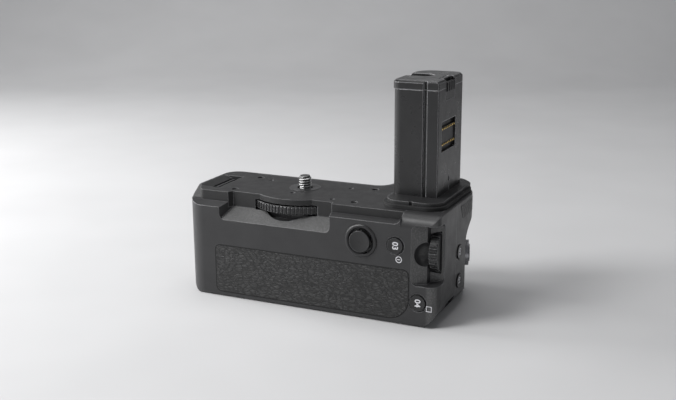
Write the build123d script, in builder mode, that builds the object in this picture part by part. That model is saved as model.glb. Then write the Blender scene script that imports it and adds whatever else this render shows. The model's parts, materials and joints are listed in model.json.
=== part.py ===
"""Camera battery grip: a moulded hand grip that screws under a camera body.

Frame: the attachment screw turns about Z at X = Y = 0, Z = 0 is the face the
grip stands on, +X runs to the shutter end, -Y is the side of the thumb dial
and +Y the side of the fingers. All lengths are millimetres, angles degrees.
"""
from build123d import *
from math import cos, pi, radians, sin, sqrt, tan
import os

# Body envelope
left_reach = 53.2
right_reach = 80.0
rear_reach = 28.4
front_reach = 18.4
bulge_reach = 39.7
body_height = 53.0
rear_left_radius = 10.2
rear_right_radius = 5.5
front_left_radius = 8.0
bulge_left = 42.0
bulge_root = 35.0
bulge_corner_radius = 21.0
bulge_left_radius = 9.0
bulge_root_radius = 7.0
bottom_left_radius = 9.0
bottom_right_radius = 11.0
bottom_rear_radius = 1.8
bottom_rear_share = 0.36
bottom_front_radius = 5.0
wall = 2.4
overrun = 6.0
gap = 0.3
running_gap = 0.06

# Slanted finger face at the shutter end
slant_angle = 19.0
slant_start = 12.4
slant_blend_low = 29.5
slant_blend_high = 51.0

# Seams between the mouldings
seam = -1.6
deck_split = 45.4
deck_plate = 2.4
deck_wall = 2.0

# Step between deck and rear cover
step_wall = 23.5
step_left_low = 46.2
step_left_high = 48.0
step_right_low = 48.2
step_right_high = 49.0
step_right_end = 61.8
step_end_radius = 3.0
step_left_turn = 21.0
step_left_end = 13.3
deck_corner_x = 46.5
deck_corner_y = 12.0
rolled_edge = 6.5
top_edge_fillet = 0.6

# Wheel pocket in the rear face
pocket_left = 33.3
pocket_right = 26.5
pocket_left_draft = 4.0
pocket_right_draft = 1.6
pocket_wall = 20.9
pocket_low = 40.0
pocket_high = 45.5
pocket_corner_radius = 3.0
pocket_bulge = 25.2
thumb_scoop_radius = 15.5
thumb_scoop_rear = 25.5
thumb_scoop_floor = 42.1

# Attachment screw and its thumb wheel
wheel_radius = 26.2
wheel_bottom = 45.8
wheel_thickness = 3.8
wheel_rib_count = 84
wheel_rib_depth = 0.55
wheel_rib_share = 0.56
wheel_bevel = 0.5
wheel_web = 1.6
wheel_hub_radius = 8.0
wheel_rim = 3.2
wheel_room = 0.6
wheel_room_height = 0.7
screw_radius = 3.175
screw_proud = 6.2
screw_chamfer = 0.7
screw_root_radius = 2.6
screw_neck_radius = 2.8
screw_neck_rise = 0.4
screw_flange_radius = 5.0
screw_flange_thickness = 0.8
bearing_radius = 3.4
bearing_flange_radius = 6.0
bearing_flange_thickness = 0.8
bearing_bore_gap = 0.05
retainer_radius = 4.6
retainer_thickness = 0.8
escutcheon_radius = 7.8
escutcheon_bore = 4.0
escutcheon_thickness = 1.0
escutcheon_proud = 0.15
dial_plate_thickness = 1.2

# Cover store slot in the deck
store_right = 41.9
store_width = 4.8
store_rear = 17.0
store_front = 7.5
store_depth = 5.4
store_ramp = 4.6
store_ramp_depth = 1.4
store_rib = 1.0
store_rib_rear = 15.4
store_rib_front = 1.0
store_groove = 1.3
store_groove_depth = 1.8
store_wall = 1.4

# Deck screws and dimples
deck_screw_radius = 1.7
deck_screw_shank = 0.9
deck_screw_sink = 0.5
deck_screw_head = 0.9
deck_screw_left = 30.6
deck_screw_right = 34.0
deck_screw_rear = 16.7
deck_screw_front = 9.6
deck_post_radius = 2.5
dimple_radius = 1.2
dimple_depth = 0.5
dimple_left = 22.7
dimple_right = 22.2
dimple_middle_x = 0.8
dimple_middle_y = 12.2
dimple_front = 6.4
dimple_rear = 15.8

# Battery bay and tray
bay_end = 60.2
bay_rear = 25.6
bay_front = 15.6
bay_floor = 6.2
bay_top = 31.7
pack_length = 51.7
pack_width = 38.7
pack_height = 22.7
pack_corner = 3.0
pack_start = 48.6
pack_spacing = 1.0
pack_middle_shares = (0.25, 0.75)
tray_wall = 0.9
tray_floor = 1.0
tray_side_height = 15.0
tray_end_wall = 1.0
tray_contact_gap = 0.2
tray_window_length = 32.0
tray_window_width = 20.0
end_cover_thickness = 4.4

# Tray latch
latch_radius = 5.5
latch_depth = 1.4
latch_grip_width = 2.2
latch_grip_height = 1.0
latch_shaft_radius = 1.6
latch_tongue_reach = 9.7
latch_tongue_width = 3.0
latch_tongue_thickness = 1.0
latch_tongue_depth = 2.8
latch_centre_y = -5.0
latch_centre_z = 23.5
latch_room = 0.7

# Contact carrier at the bay's inner end
carrier_thickness = 2.3
carrier_height = 12.0
carrier_width = 26.0
carrier_low = 9.0
contact_count = 4
contact_pitch = 5.0
contact_width = 1.6
contact_length = 0.6
contact_height = 6.0
terminal_thickness = 0.3

# Chassis and boards
room_rear = 19.3
stick_room = 9.2
chassis_thickness = 1.2
chassis_left = 45.0
board_thickness = 1.2
board_height = 37.2
board_left = 34.0
board_right = 58.0
board_rear = 16.0
board_front = 13.0
standoff_radius = 2.0
control_board_thickness = 1.0
control_board_low = 6.5
control_board_foot = 17.2
control_board_leg = 1.8
control_board_right = 76.0
control_post_radius = 1.4
switch_size = 4.4
switch_height = 1.4
rear_switch_top = 5.4
slant_switch_top = 6.4
slant_board_depth = 7.8
end_board_start = 1.5
slant_board_end = 21.5
slant_board_low = 6.0
slant_board_high = 33.0

board_part_size = 4.0
board_part_height = 1.5
board_part_shares = (0.2, 0.5, 0.78)

# Base plate, pad and tripod socket
base_thickness = 2.0
base_left = 40.0
base_right = 58.0
base_rear = 19.0
base_front = 12.5
base_corner = 5.0
base_boss_radius = 9.6
base_boss_height = 5.8
pad_thickness = 0.8
pad_border = 6.2
pad_gap_radius = 8.4
socket_radius = 6.4
socket_depth = 5.0
socket_flange_radius = 7.6
socket_flange = 1.0
base_screw_radius = 1.8
base_screw_shank = 0.9
base_screw_length = 4.6
base_screw_head = 0.8
base_screw_sink = 0.3
base_screw_inset = 3.2

# Grip skins
skin_thickness = 0.8
skin_proud = 0.1
rear_skin_left = 35.8
rear_skin_right = 66.1
rear_skin_low = 3.0
rear_skin_high = 26.7
rear_skin_corner = 2.6
rear_skin_low_corner = 10.0
front_skin_left = 40.0
front_skin_right = 57.0
front_skin_low = 4.0
front_skin_high = 49.0
end_skin_low = 44.2
end_skin_high = 50.6
end_skin_start = 4.0
end_skin_tip = 7.5

# Thumb stick
stick_x = 42.6
stick_z = 38.4
stick_bezel_radius = 8.0
stick_bezel_bore = 5.9
stick_bezel_sink = 1.2
stick_bezel_crown = 0.9
stick_cap_radius = 5.1
stick_cap_height = 1.5
stick_cap_proud = 2.2
stick_cap_dish = 0.5
stick_shaft_radius = 1.4
stick_hole_radius = 5.0
stick_pivot_depth = 3.9
stick_ring_thickness = 1.6
yoke_radius = 2.6
yoke_bore_wall = 2.1
cradle_bore = 3.1
cradle_radius = 4.3
stick_pin_radius = 0.5
stick_pin_length = 0.9
stick_base_wall = 1.0
stick_base_room = 4.8
stick_base_depth = 6.8
stick_base_floor = 0.8
stick_skirt_radius = 4.3
stick_skirt_depth = 0.5
stick_end_depth = 5.3
stick_pin_gap = 0.04

# Round buttons
button_radius = 3.7
button_gap = 0.18
button_proud = 0.5
button_dish = 0.25
button_flange = 0.7
button_flange_thickness = 0.8
button_plunger_radius = 1.2
button_play = 0.05
button_travel = 0.4
focus_x = 59.6
focus_z = 38.0
exposure_x = 70.8
exposure_z = 12.0
custom_radius = 3.3
custom_y = 3.0
custom_low = 14.1
custom_high = 28.6
button_ring_width = 0.7
button_ring_depth = 0.35

# Shutter button and power switch
shutter_along = 13.0
shutter_z = 21.5
shutter_radius = 4.3
shutter_travel = 0.9
switch_ring_radius = 6.4
switch_ring_bore = 4.55
switch_ring_height = 2.0
switch_ring_sink = 1.0
switch_lever_length = 3.0
switch_lever_width = 2.6
switch_hub_radius = 5.4
switch_flange_thickness = 0.8
shutter_proud = 2.5
shutter_flange = 0.7

# Rear thumb dial
rear_dial_x = 76.3
rear_dial_z = 34.3
rear_dial_radius = 10.5
rear_dial_reach = 25.0
rear_dial_thickness = 4.0
rear_dial_teeth = 26
dial_room = 0.4
dial_shaft_radius = 1.2
rear_pocket_left = 67.3
rear_pocket_low = 20.0
rear_pocket_high = 48.5
rear_pocket_corner = 3.0
rear_pocket_step_x = 73.5
rear_pocket_step_y = 23.9
rear_pocket_floor_x = 74.1
rear_pocket_floor_y = 20.6
rear_pocket_end_y = 17.8
rear_scoop_radius = 7.9

# Teeth of both finger dials
finger_tooth_depth = 0.6
finger_tooth_share = 0.55
finger_bevel = 0.5

# Front finger dial
front_dial_x = 56.4
front_dial_z = 22.6
front_dial_radius = 8.6
front_dial_thickness = 4.0
front_dial_proud = 1.3
front_dial_teeth = 22

# Blocks that carry the finger dials
dial_block_wall = 3.0
dial_block_reach = 4.0
dial_block_height = 2.4

# Tower that fills the camera's battery chamber
tower_left = 49.1
tower_length = 38.7
tower_width = 22.7
tower_rear = 7.4
tower_top = 110.5
tower_corner = 4.3
tower_front_left_corner = 9.0
tower_front_right_corner = 5.0
tower_wall = 1.5
tower_cap_height = 4.1
tower_cap_lip = 0.5
tower_cap_chamfer = 1.0
tower_cap_rebate = 1.4
tower_groove_from_right = 7.4
tower_groove_width = 1.7
tower_groove_depth = 1.3
tower_groove_back = 2.4
tower_strip_sink = 0.5
tower_sharp_corner = 1.2
cap_notch_length = 13.5
cap_notch_start = 9.0
cap_notch_width = 8.8
cap_notch_depth = 2.4
cap_slot_length = 12.0
cap_slot_width = 1.0
cap_slot_depth = 1.0
cap_slot_right = 3.4
cap_slot_rear = 11.0
window_rear = 2.2
window_width = 20.0
window_low = 77.0
window_high = 91.2
contact_block_depth = 4.0
contact_step_height = 8.6
pin_count = 8
pin_pitch = 2.4
pin_radius = 0.35
pin_proud = 0.3
pin_low = 80.2
pin_high = 87.6
pin_first = 3.4
slit_y = 9.5
slit_width = 0.7
slit_low = 54.6
slit_high = 66.6
slit_notch_low = 61.0
slit_notch_high = 63.6
slit_notch_width = 1.6
tower_latch_start = 3.4
tower_latch_width = 12.3
tower_latch_low = 100.6
tower_latch_high = 109.0
tower_latch_ribs = 4
tower_latch_rib_width = 1.4
tower_latch_rib_height = 0.5
tower_latch_rib_low = 104.6
tower_latch_thickness = 1.1
tower_latch_room = 2.2
tower_latch_gap = 0.15
tower_board_thickness = 1.0
tower_board_width = 16.0
tower_board_low = 44.0
tower_cable_width = 8.0
contact_block_border = 1.2
contact_block_raise = 0.8
raise_share = 0.98

# Flange round the foot of the tower
seal_left = 47.4
seal_right = 78.4
seal_rear = 19.6
seal_front = 37.2
seal_height = 1.7
seal_corner = 9.0
flange_inset = 1.6
flange_height = 1.7
flange_notch_radius = 0.9
flange_notch_x = 63.0

# Recess low on the shutter end
end_recess_rear = 14.0
end_recess_front = 1.0
end_recess_low = 3.6
end_recess_high = 8.4
end_recess_depth = 4.0
end_recess_wall = 1.5

deck_corner_slope = (step_wall - deck_corner_y) / (left_reach - deck_corner_x)
deck_corner_far = (-left_reach - overrun, -deck_corner_y + overrun * deck_corner_slope)
quarter = 90
slant_normal = (cos(radians(slant_angle)), sin(radians(slant_angle)))
slant_offset = right_reach * slant_normal[0] + slant_start * slant_normal[1]
deck_underside = body_height - deck_plate
deck_post_low = wheel_bottom - wheel_room_height
deck_end = store_wall * 4 - store_right
wheel_top = wheel_bottom + wheel_thickness
chassis_low = bay_top
chassis_high = bay_top + chassis_thickness
tower_right = tower_left + tower_width
tower_front = tower_length - tower_rear
cap_bottom = tower_top - tower_cap_height
rear_dial_y = rear_dial_radius - rear_dial_reach
front_dial_y = bulge_reach + front_dial_proud - front_dial_radius


def block(x_range, y_range, z_range):
    """A plain block between two values on each axis."""
    with BuildPart() as solid:
        with BuildSketch(Plane.XY.offset(z_range[0])):
            with Locations(((x_range[0] + x_range[1]) / 2, (y_range[0] + y_range[1]) / 2)):
                Rectangle(x_range[1] - x_range[0], y_range[1] - y_range[0])
        extrude(amount=z_range[1] - z_range[0])
    return solid.part


def drum(x, y, low, high, radius):
    """An upright cylinder."""
    with BuildPart() as solid:
        with BuildSketch(Plane.XY.offset(low)):
            with Locations((x, y)):
                Circle(radius)
        extrude(amount=high - low)
    return solid.part


def rod(plane, start, end, radius):
    """A cylinder along a plane's normal between two distances from it."""
    with BuildPart() as solid:
        with BuildSketch(plane.offset(start)):
            Circle(radius)
        extrude(amount=end - start)
    return solid.part


def body_plan(inset):
    """Plan outline of the body above the slanted face, moved inwards."""
    with BuildSketch() as plan:
        with BuildLine():
            FilletPolyline(
                (-left_reach, -rear_reach),
                (right_reach, -rear_reach),
                (right_reach, bulge_reach),
                (bulge_left, bulge_reach),
                (bulge_root, front_reach),
                (-left_reach, front_reach),
                radius=[
                    rear_left_radius,
                    rear_right_radius,
                    bulge_corner_radius,
                    bulge_left_radius,
                    bulge_root_radius,
                    front_left_radius,
                ],
                close=True,
            )
        make_face()
        if inset != 0:
            offset(amount=-inset, kind=Kind.INTERSECTION, mode=Mode.REPLACE)
    return plan.sketch


def slant_plane():
    """Plane of the finger face: X runs along it, Y up, Z out of the body."""
    return Plane(
        origin=(right_reach, slant_start, 0),
        x_dir=(-slant_normal[1], slant_normal[0], 0),
        z_dir=(slant_normal[0], slant_normal[1], 0),
    )


def slant_cut(inset):
    """What the slanted finger face takes off the body."""
    section_plane = Plane(
        origin=(slant_offset * slant_normal[0], slant_offset * slant_normal[1], 0),
        x_dir=(slant_normal[0], slant_normal[1], 0),
        z_dir=(slant_normal[1], -slant_normal[0], 0),
    )
    blend = slant_blend_high - slant_blend_low
    with BuildPart() as cut:
        with BuildSketch(section_plane):
            with BuildLine():
                Line((-inset, -overrun), (-inset, slant_blend_low))
                TangentArc((-inset, slant_blend_low), (blend - inset, slant_blend_high), tangent=(0, 1))
                Line((blend - inset, slant_blend_high), (blend + overrun, slant_blend_high))
                Line((blend + overrun, slant_blend_high), (blend + overrun, -overrun))
                Line((blend + overrun, -overrun), (-inset, -overrun))
            make_face()
        extrude(amount=bulge_reach + rear_reach, both=True)
    return cut.part


def rear_view_outline():
    """Outline of the body in the rear view, with its rounded lower corners."""
    with BuildPart() as outline:
        with BuildSketch(Plane.XZ):
            with BuildLine():
                FilletPolyline(
                    (-left_reach, 0),
                    (right_reach, 0),
                    (right_reach, body_height),
                    (-left_reach, body_height),
                    radius=[bottom_left_radius, bottom_right_radius, 0, 0],
                    close=True,
                )
            make_face()
        extrude(amount=bulge_reach + rear_reach, both=True)
    return outline.part


def end_view_outline():
    """Outline of the body seen from its end, with its rounded lower edges."""
    rear_inner = -rear_reach + bottom_rear_radius
    share = bottom_rear_radius * bottom_rear_share
    rear_middle = (-rear_reach + share, share)
    with BuildPart() as outline:
        with BuildSketch(Plane.YZ.offset(-left_reach - overrun)):
            with BuildLine():
                ThreePointArc((-rear_reach, bottom_rear_radius), rear_middle, (rear_inner, 0))
                FilletPolyline(
                    (rear_inner, 0),
                    (bulge_reach, 0),
                    (bulge_reach, body_height),
                    (-rear_reach, body_height),
                    (-rear_reach, bottom_rear_radius),
                    radius=[bottom_front_radius, 0, 0],
                )
            make_face()
        extrude(amount=left_reach + right_reach + overrun * 2)
    return outline.part


def envelope():
    """The outer form of the body before its pockets and steps."""
    with BuildPart() as form:
        with BuildSketch():
            add(body_plan(0))
        extrude(amount=body_height)
        add(rear_view_outline(), mode=Mode.INTERSECT)
        fillet(form.faces().sort_by(Axis.Z)[-1].edges(), top_edge_fillet)
        add(end_view_outline(), mode=Mode.INTERSECT)
        add(slant_cut(0), mode=Mode.SUBTRACT)
    return form.part


def left_step_cut():
    """The step round the deck left of the wheel pocket, rising at the corner."""
    slope = (step_left_high - step_left_low) / (rear_reach - step_wall)
    right = -pocket_left + pocket_left_draft
    with BuildPart() as cut:
        with BuildSketch(Plane.YZ.offset(-left_reach - overrun)):
            with BuildLine():
                Polyline(
                    (-rear_reach - overrun, step_left_low - slope * overrun),
                    (-step_wall, step_left_high),
                    (-step_left_turn, step_left_high),
                    (-step_left_end, body_height),
                    (-step_left_end, body_height + overrun),
                    (-rear_reach - overrun, body_height + overrun),
                    close=True,
                )
            make_face()
        extrude(amount=left_reach + overrun + right)
        with BuildSketch():
            with BuildLine():
                FilletPolyline(
                    (right, -step_wall),
                    (-deck_corner_x, -step_wall),
                    deck_corner_far,
                    (-left_reach - overrun, -rear_reach - overrun),
                    (right, -rear_reach - overrun),
                    radius=[0, step_end_radius, 0, 0, 0],
                    close=True,
                )
            make_face()
        extrude(amount=body_height + overrun, mode=Mode.INTERSECT)
    return cut.part


def right_step_cut():
    """The shallower step right of the pocket, whose end curves up to the deck."""
    rise = (step_right_high - step_right_low) / (rear_reach - step_wall)
    with BuildPart() as cut:
        with BuildSketch(Plane.XZ.offset(step_wall)):
            with BuildLine():
                FilletPolyline(
                    (pocket_right - pocket_right_draft, step_right_high),
                    (step_right_end, step_right_high),
                    (step_right_end, body_height + overrun),
                    (pocket_right - pocket_right_draft, body_height + overrun),
                    radius=[0, step_end_radius, 0, 0],
                    close=True,
                )
            make_face()
        extrude(amount=rear_reach, dir=(0, -1, -rise))
    return cut.part


def rolled_edge_cut():
    """The rounding from the rear face up to the tower's seat."""
    edge_low = body_height - rolled_edge
    edge_inner = -rear_reach + rolled_edge
    with BuildPart() as cut:
        with BuildSketch(Plane.YZ.offset(step_right_end)):
            with BuildLine():
                Polyline(
                    (-rear_reach, edge_low),
                    (-rear_reach - overrun, edge_low),
                    (-rear_reach - overrun, body_height + overrun),
                    (edge_inner, body_height + overrun),
                    (edge_inner, body_height),
                )
                TangentArc((edge_inner, body_height), (-rear_reach, edge_low), tangent=(-1, 0))
            make_face()
        extrude(amount=right_reach)
    return cut.part


def wheel_pocket_cut():
    """The pocket in front of the thumb wheel, with its ramp and drafted ends."""
    with BuildPart() as cut:
        with BuildSketch(Plane.YZ.offset(-pocket_left - overrun)):
            with BuildLine():
                Polyline(
                    (-pocket_wall, pocket_high),
                    (-pocket_wall, body_height + overrun),
                    (-rear_reach - overrun, body_height + overrun),
                    (-rear_reach - overrun, pocket_low),
                    (-rear_reach, pocket_low),
                    close=True,
                )
            make_face()
        extrude(amount=pocket_left + pocket_right + overrun * 2)
        with BuildSketch():
            with BuildLine():
                Polyline(
                    (-pocket_left, -rear_reach - overrun),
                    (-pocket_left, -rear_reach),
                    (-pocket_left + pocket_left_draft, -pocket_wall),
                    (pocket_right - pocket_right_draft, -pocket_wall),
                    (pocket_right, -rear_reach),
                    (pocket_right, -rear_reach - overrun),
                    close=True,
                )
            make_face()
        extrude(amount=body_height + overrun, mode=Mode.INTERSECT)
        with BuildSketch(Plane.XZ):
            with BuildLine():
                FilletPolyline(
                    (-pocket_left, pocket_low),
                    (pocket_right, pocket_low),
                    (pocket_right, body_height + overrun),
                    (-pocket_left, body_height + overrun),
                    radius=[pocket_corner_radius, pocket_corner_radius, 0, 0],
                    close=True,
                )
            make_face()
        extrude(amount=rear_reach + overrun, mode=Mode.INTERSECT)
        with BuildSketch(Plane.XY.offset(wheel_top + wheel_room_height)):
            Circle(pocket_bulge)
        extrude(amount=body_height, mode=Mode.SUBTRACT)
    return cut.part


def wheel_space():
    """The round space that the thumb wheel turns in, with the scoop for the thumb."""
    low = wheel_bottom - wheel_room_height
    scoop_y = thumb_scoop_radius - thumb_scoop_rear
    scoop = drum(0, scoop_y, thumb_scoop_floor, low + wheel_room_height, thumb_scoop_radius)
    across = (-wheel_radius * 2, wheel_radius * 2)
    behind = block(across, (-pocket_wall, wheel_radius * 2), (0, body_height))
    with BuildPart() as room:
        add(scoop)
        add(behind, mode=Mode.SUBTRACT)
        add(drum(0, 0, low, wheel_top + wheel_room_height, wheel_radius + wheel_room))
    return room.part


def store_cut():
    """The slot in the deck that takes the camera's battery cover."""
    slot_left = -store_right - store_width
    floor = body_height - store_depth
    with BuildPart() as cut:
        add(block((slot_left, -store_right), (-store_rear, store_front), (floor, body_height + overrun)))
        with BuildSketch(Plane.XZ.offset(-store_front)):
            with BuildLine():
                Polyline(
                    (slot_left, body_height + overrun),
                    (slot_left - store_ramp, body_height + overrun),
                    (slot_left - store_ramp, body_height),
                    (slot_left, body_height - store_ramp_depth),
                    close=True,
                )
            make_face()
        extrude(amount=store_front + store_rear)
        groove_left = -store_right + store_rib
        add(
            block(
                (groove_left, groove_left + store_groove),
                (-store_rib_rear, store_rib_front),
                (body_height - store_groove_depth, body_height + overrun),
            )
        )
    return cut.part


def store_ends():
    """The deeper clip holes at both ends of the store slot."""
    hole_right = -store_right + store_rib + store_groove
    floor = body_height - store_depth + store_wall
    with BuildPart() as cut:
        for across in ((-store_rear, -store_rib_rear), (store_rib_front, store_front)):
            add(block((-store_right, hole_right), across, (floor, body_height + overrun)))
    return cut.part


def rear_dial_pocket():
    """The pocket that wraps round the corner, with the scoop beside the dial."""
    far = right_reach + overrun
    with BuildPart() as cut:
        with BuildSketch():
            with BuildLine():
                Polyline(
                    (rear_pocket_left, -rear_reach),
                    (rear_pocket_step_x, -rear_pocket_step_y),
                    (rear_pocket_floor_x, -rear_pocket_floor_y),
                    (right_reach, -rear_pocket_end_y),
                    (far, -rear_pocket_end_y),
                    (far, -rear_reach - overrun),
                    (rear_pocket_left, -rear_reach - overrun),
                    close=True,
                )
            make_face()
        extrude(amount=body_height)
        with BuildSketch(Plane.XZ):
            with BuildLine():
                FilletPolyline(
                    (rear_pocket_left, rear_pocket_low),
                    (far, rear_pocket_low),
                    (far, rear_pocket_high),
                    (rear_pocket_left, rear_pocket_high),
                    radius=[rear_pocket_corner, 0, 0, rear_pocket_corner],
                    close=True,
                )
            make_face()
        extrude(amount=rear_reach + overrun, mode=Mode.INTERSECT)
        with BuildSketch(Plane.YZ.offset(rear_pocket_left)):
            with BuildLine():
                FilletPolyline(
                    (-rear_reach - overrun, rear_pocket_low),
                    (-rear_pocket_end_y, rear_pocket_low),
                    (-rear_pocket_end_y, rear_pocket_high),
                    (-rear_reach - overrun, rear_pocket_high),
                    radius=[0, rear_pocket_corner, rear_pocket_corner, 0],
                    close=True,
                )
            make_face()
        extrude(amount=right_reach, mode=Mode.INTERSECT)
        with Locations((rear_dial_x, -rear_reach, rear_dial_z)):
            Sphere(rear_scoop_radius)
    return cut.part


def dial_space(x, y, z, radius, thickness):
    """The space that a finger dial turns in."""
    half = thickness / 2 + gap
    return rod(end_plane(x, y, z), -half, half, radius + dial_room)


def end_recess_cut():
    """The recess low on the shutter end."""
    return block(
        (right_reach - end_recess_depth, right_reach + overrun),
        (-end_recess_rear, -end_recess_front),
        (end_recess_low, end_recess_high),
    )


def end_recess_block():
    """The moulded block that closes the recess on the shutter end."""
    return block(
        (right_reach - end_recess_depth - end_recess_wall, right_reach),
        (-end_recess_rear - end_recess_wall, -end_recess_front + end_recess_wall),
        (0, end_recess_high + end_recess_wall),
    )


def rear_skin_window():
    """Outline of the rear grip skin as a slab that reaches into the body."""
    with BuildPart() as window:
        with BuildSketch(Plane.XZ):
            with BuildLine():
                FilletPolyline(
                    (-rear_skin_left, rear_skin_low),
                    (rear_skin_right, rear_skin_low),
                    (rear_skin_right, rear_skin_high),
                    (-rear_skin_left, rear_skin_high),
                    radius=[
                        rear_skin_corner,
                        rear_skin_low_corner,
                        rear_skin_corner,
                        rear_skin_corner,
                    ],
                    close=True,
                )
            make_face()
        extrude(amount=rear_reach + overrun)
    return window.part


def front_skin_window():
    """Outline of the front grip skin in the front view."""
    middle_x = (front_skin_right - front_skin_left) / 2
    with BuildPart() as window:
        with BuildSketch(Plane.XZ):
            with Locations((middle_x, (front_skin_low + front_skin_high) / 2)):
                RectangleRounded(
                    front_skin_left + front_skin_right,
                    front_skin_high - front_skin_low,
                    rear_skin_corner,
                )
        extrude(amount=-bulge_reach - overrun)
    return window.part


def end_skin_window():
    """Outline of the skin that wraps round the upper shutter end."""
    with BuildPart() as window:
        with BuildSketch(Plane.YZ.offset(front_skin_right + gap * 2)):
            with BuildLine():
                Polyline(
                    (end_skin_start, end_skin_high),
                    (end_skin_tip, end_skin_low),
                    (bulge_reach + overrun, end_skin_low),
                    (bulge_reach + overrun, end_skin_high),
                    close=True,
                )
            make_face()
        extrude(amount=right_reach)
    return window.part


def skin_layer(depth, proud):
    """A layer of the body's side surface between two offsets from it."""
    with BuildPart() as layer:
        with BuildSketch():
            add(body_plan(-proud))
        extrude(amount=body_height)
        with BuildSketch():
            add(body_plan(depth))
        extrude(amount=body_height, mode=Mode.SUBTRACT)
    return layer.part


def skin(window, proud):
    """A grip skin: the part of the surface layer inside one window."""
    layer = skin_layer(skin_thickness, proud)
    with BuildPart() as piece:
        add(window)
        add(layer, mode=Mode.INTERSECT)
    return piece.part


def front_skin():
    """The front grip skin, open for the thumb wheel and the front dial."""
    with BuildPart() as piece:
        add(skin(front_skin_window(), skin_proud))
        add(wheel_space(), mode=Mode.SUBTRACT)
        add(
            dial_space(front_dial_x, front_dial_y, front_dial_z, front_dial_radius, front_dial_thickness),
            mode=Mode.SUBTRACT,
        )
    return piece.part


def end_plane(x, y, z):
    """A plane whose normal is +X, with its own X along +Y."""
    return Plane(origin=(x, y, z), x_dir=(0, 1, 0), z_dir=(1, 0, 0))


def rear_plane(x, z):
    """A plane on the rear face, looking out of it."""
    return Plane(origin=(x, -rear_reach, z), x_dir=(1, 0, 0), z_dir=(0, -1, 0))


def slant_spot(along, z):
    """A plane on the slanted finger face, looking out of it."""
    base = slant_plane()
    return Plane(origin=base.from_local_coords((along, z, 0)), x_dir=base.x_dir, z_dir=base.z_dir)


def custom_spot(z):
    """A plane on the flat shutter end where the custom buttons sit."""
    return end_plane(right_reach, custom_y, z)


def deck_region():
    """Everything that belongs to the deck moulding rather than to the covers."""
    with BuildPart() as region:
        with BuildSketch(Plane.XY.offset(deck_split)):
            add(body_plan(deck_wall))
            with BuildLine():
                Polyline(
                    (-left_reach - overrun, -step_wall),
                    (deck_end, -step_wall),
                    (deck_end, bulge_reach),
                    (-left_reach - overrun, bulge_reach),
                    close=True,
                )
            make_face()
        extrude(amount=body_height)
        with BuildSketch(Plane.XY.offset(deck_split)):
            with BuildLine():
                FilletPolyline(
                    (-deck_corner_x, -step_wall),
                    (step_right_end, -step_wall),
                    (step_right_end, -seal_rear + flange_inset),
                    (right_reach, -seal_rear + flange_inset),
                    (right_reach, bulge_reach),
                    (-left_reach - overrun, bulge_reach),
                    deck_corner_far,
                    radius=[step_end_radius, 0, 0, 0, 0, 0, 0],
                    close=True,
                )
            make_face()
            Circle(pocket_bulge)
        extrude(amount=body_height, mode=Mode.INTERSECT)
    return region.part


def bay_room():
    """The battery bay, open at the left end."""
    return block((-left_reach - overrun, bay_end), (-bay_rear, bay_front), (bay_floor, bay_top))


def end_room():
    """The room inside the shutter end and the bulge."""
    floor = block((-left_reach, right_reach), (-rear_reach, bulge_reach), (0, wall * 2))
    with BuildPart() as room:
        with BuildSketch():
            add(body_plan(wall))
        extrude(amount=deck_underside)
        add(floor, mode=Mode.SUBTRACT)
        add(slant_cut(wall), mode=Mode.SUBTRACT)
        bay_side = block(
            (-left_reach - overrun, bay_end + wall),
            (-rear_reach - overrun, bay_front + wall),
            (0, body_height),
        )
        add(bay_side, mode=Mode.SUBTRACT)
        add(end_recess_block(), mode=Mode.SUBTRACT)
        add(rear_dial_block(), mode=Mode.SUBTRACT)
        add(front_dial_block(), mode=Mode.SUBTRACT)
    return room.part


def rear_dial_block():
    """The moulded block round the rear dial, which keeps its pocket closed."""
    return block(
        (rear_pocket_left - wall, right_reach),
        (-rear_reach, rear_dial_y + dial_block_reach),
        (rear_pocket_low - dial_block_height, body_height),
    )


def front_dial_block():
    """The moulded block round the front dial."""
    half_width = front_dial_thickness / 2 + gap + dial_block_wall
    half_height = front_dial_radius + dial_room + dial_block_height
    return block(
        (front_dial_x - half_width, front_dial_x + half_width),
        (front_dial_y - dial_block_reach, bulge_reach),
        (front_dial_z - half_height, front_dial_z + half_height),
    )


def rear_dial_shaft_piece():
    """The steel shaft that the rear dial turns on."""
    half = rear_dial_thickness / 2 + gap + dial_block_wall / 3
    return rod(end_plane(rear_dial_x, rear_dial_y, rear_dial_z), -half, half, dial_shaft_radius)


def front_dial_shaft_piece():
    """The steel shaft that the front dial turns on."""
    half = front_dial_thickness / 2 + gap + dial_block_wall / 3
    return rod(end_plane(front_dial_x, front_dial_y, front_dial_z), -half, half, dial_shaft_radius)


def upper_room():
    """The room between the chassis and the deck."""
    main = block((deck_end, bay_end + wall), (-room_rear, bay_front), (chassis_high, deck_underside))
    side = block(
        (-left_reach + wall, deck_end),
        (-room_rear, bay_front - wall),
        (chassis_high, deck_split - wall),
    )
    thumb = block(
        (stick_x - stick_room, bay_end + wall * 2),
        (-rear_reach + wall, -room_rear),
        (chassis_high, deck_split),
    )
    with BuildPart() as room:
        add(main)
        add(side)
        add(thumb)
    return room.part


def button_cut(plane, radius):
    """The hole for a round button, with the sunken ring round it."""
    with BuildPart() as cut:
        add(rod(plane, -wall - button_travel, overrun, radius + button_gap))
        add(rod(plane, -button_ring_depth, overrun, radius + button_ring_width))
    return cut.part


def base_room():
    """The recess for the base plate and the well for the tripod socket."""
    with BuildPart() as room:
        with BuildSketch():
            with Locations(((base_right - base_left) / 2, (base_front - base_rear) / 2)):
                RectangleRounded(base_left + base_right, base_front + base_rear, base_corner)
        extrude(amount=base_thickness)
        with BuildSketch():
            Circle(base_boss_radius)
        extrude(amount=base_boss_height)
    return room.part


def base_screw_spots():
    """Centres of the base screws."""
    return [
        (-base_left + base_screw_inset, -base_rear + base_screw_inset),
        (base_right - base_screw_inset, -base_rear + base_screw_inset),
        (-base_left + base_screw_inset, base_front - base_screw_inset),
        (base_right - base_screw_inset, base_front - base_screw_inset),
    ]


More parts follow.
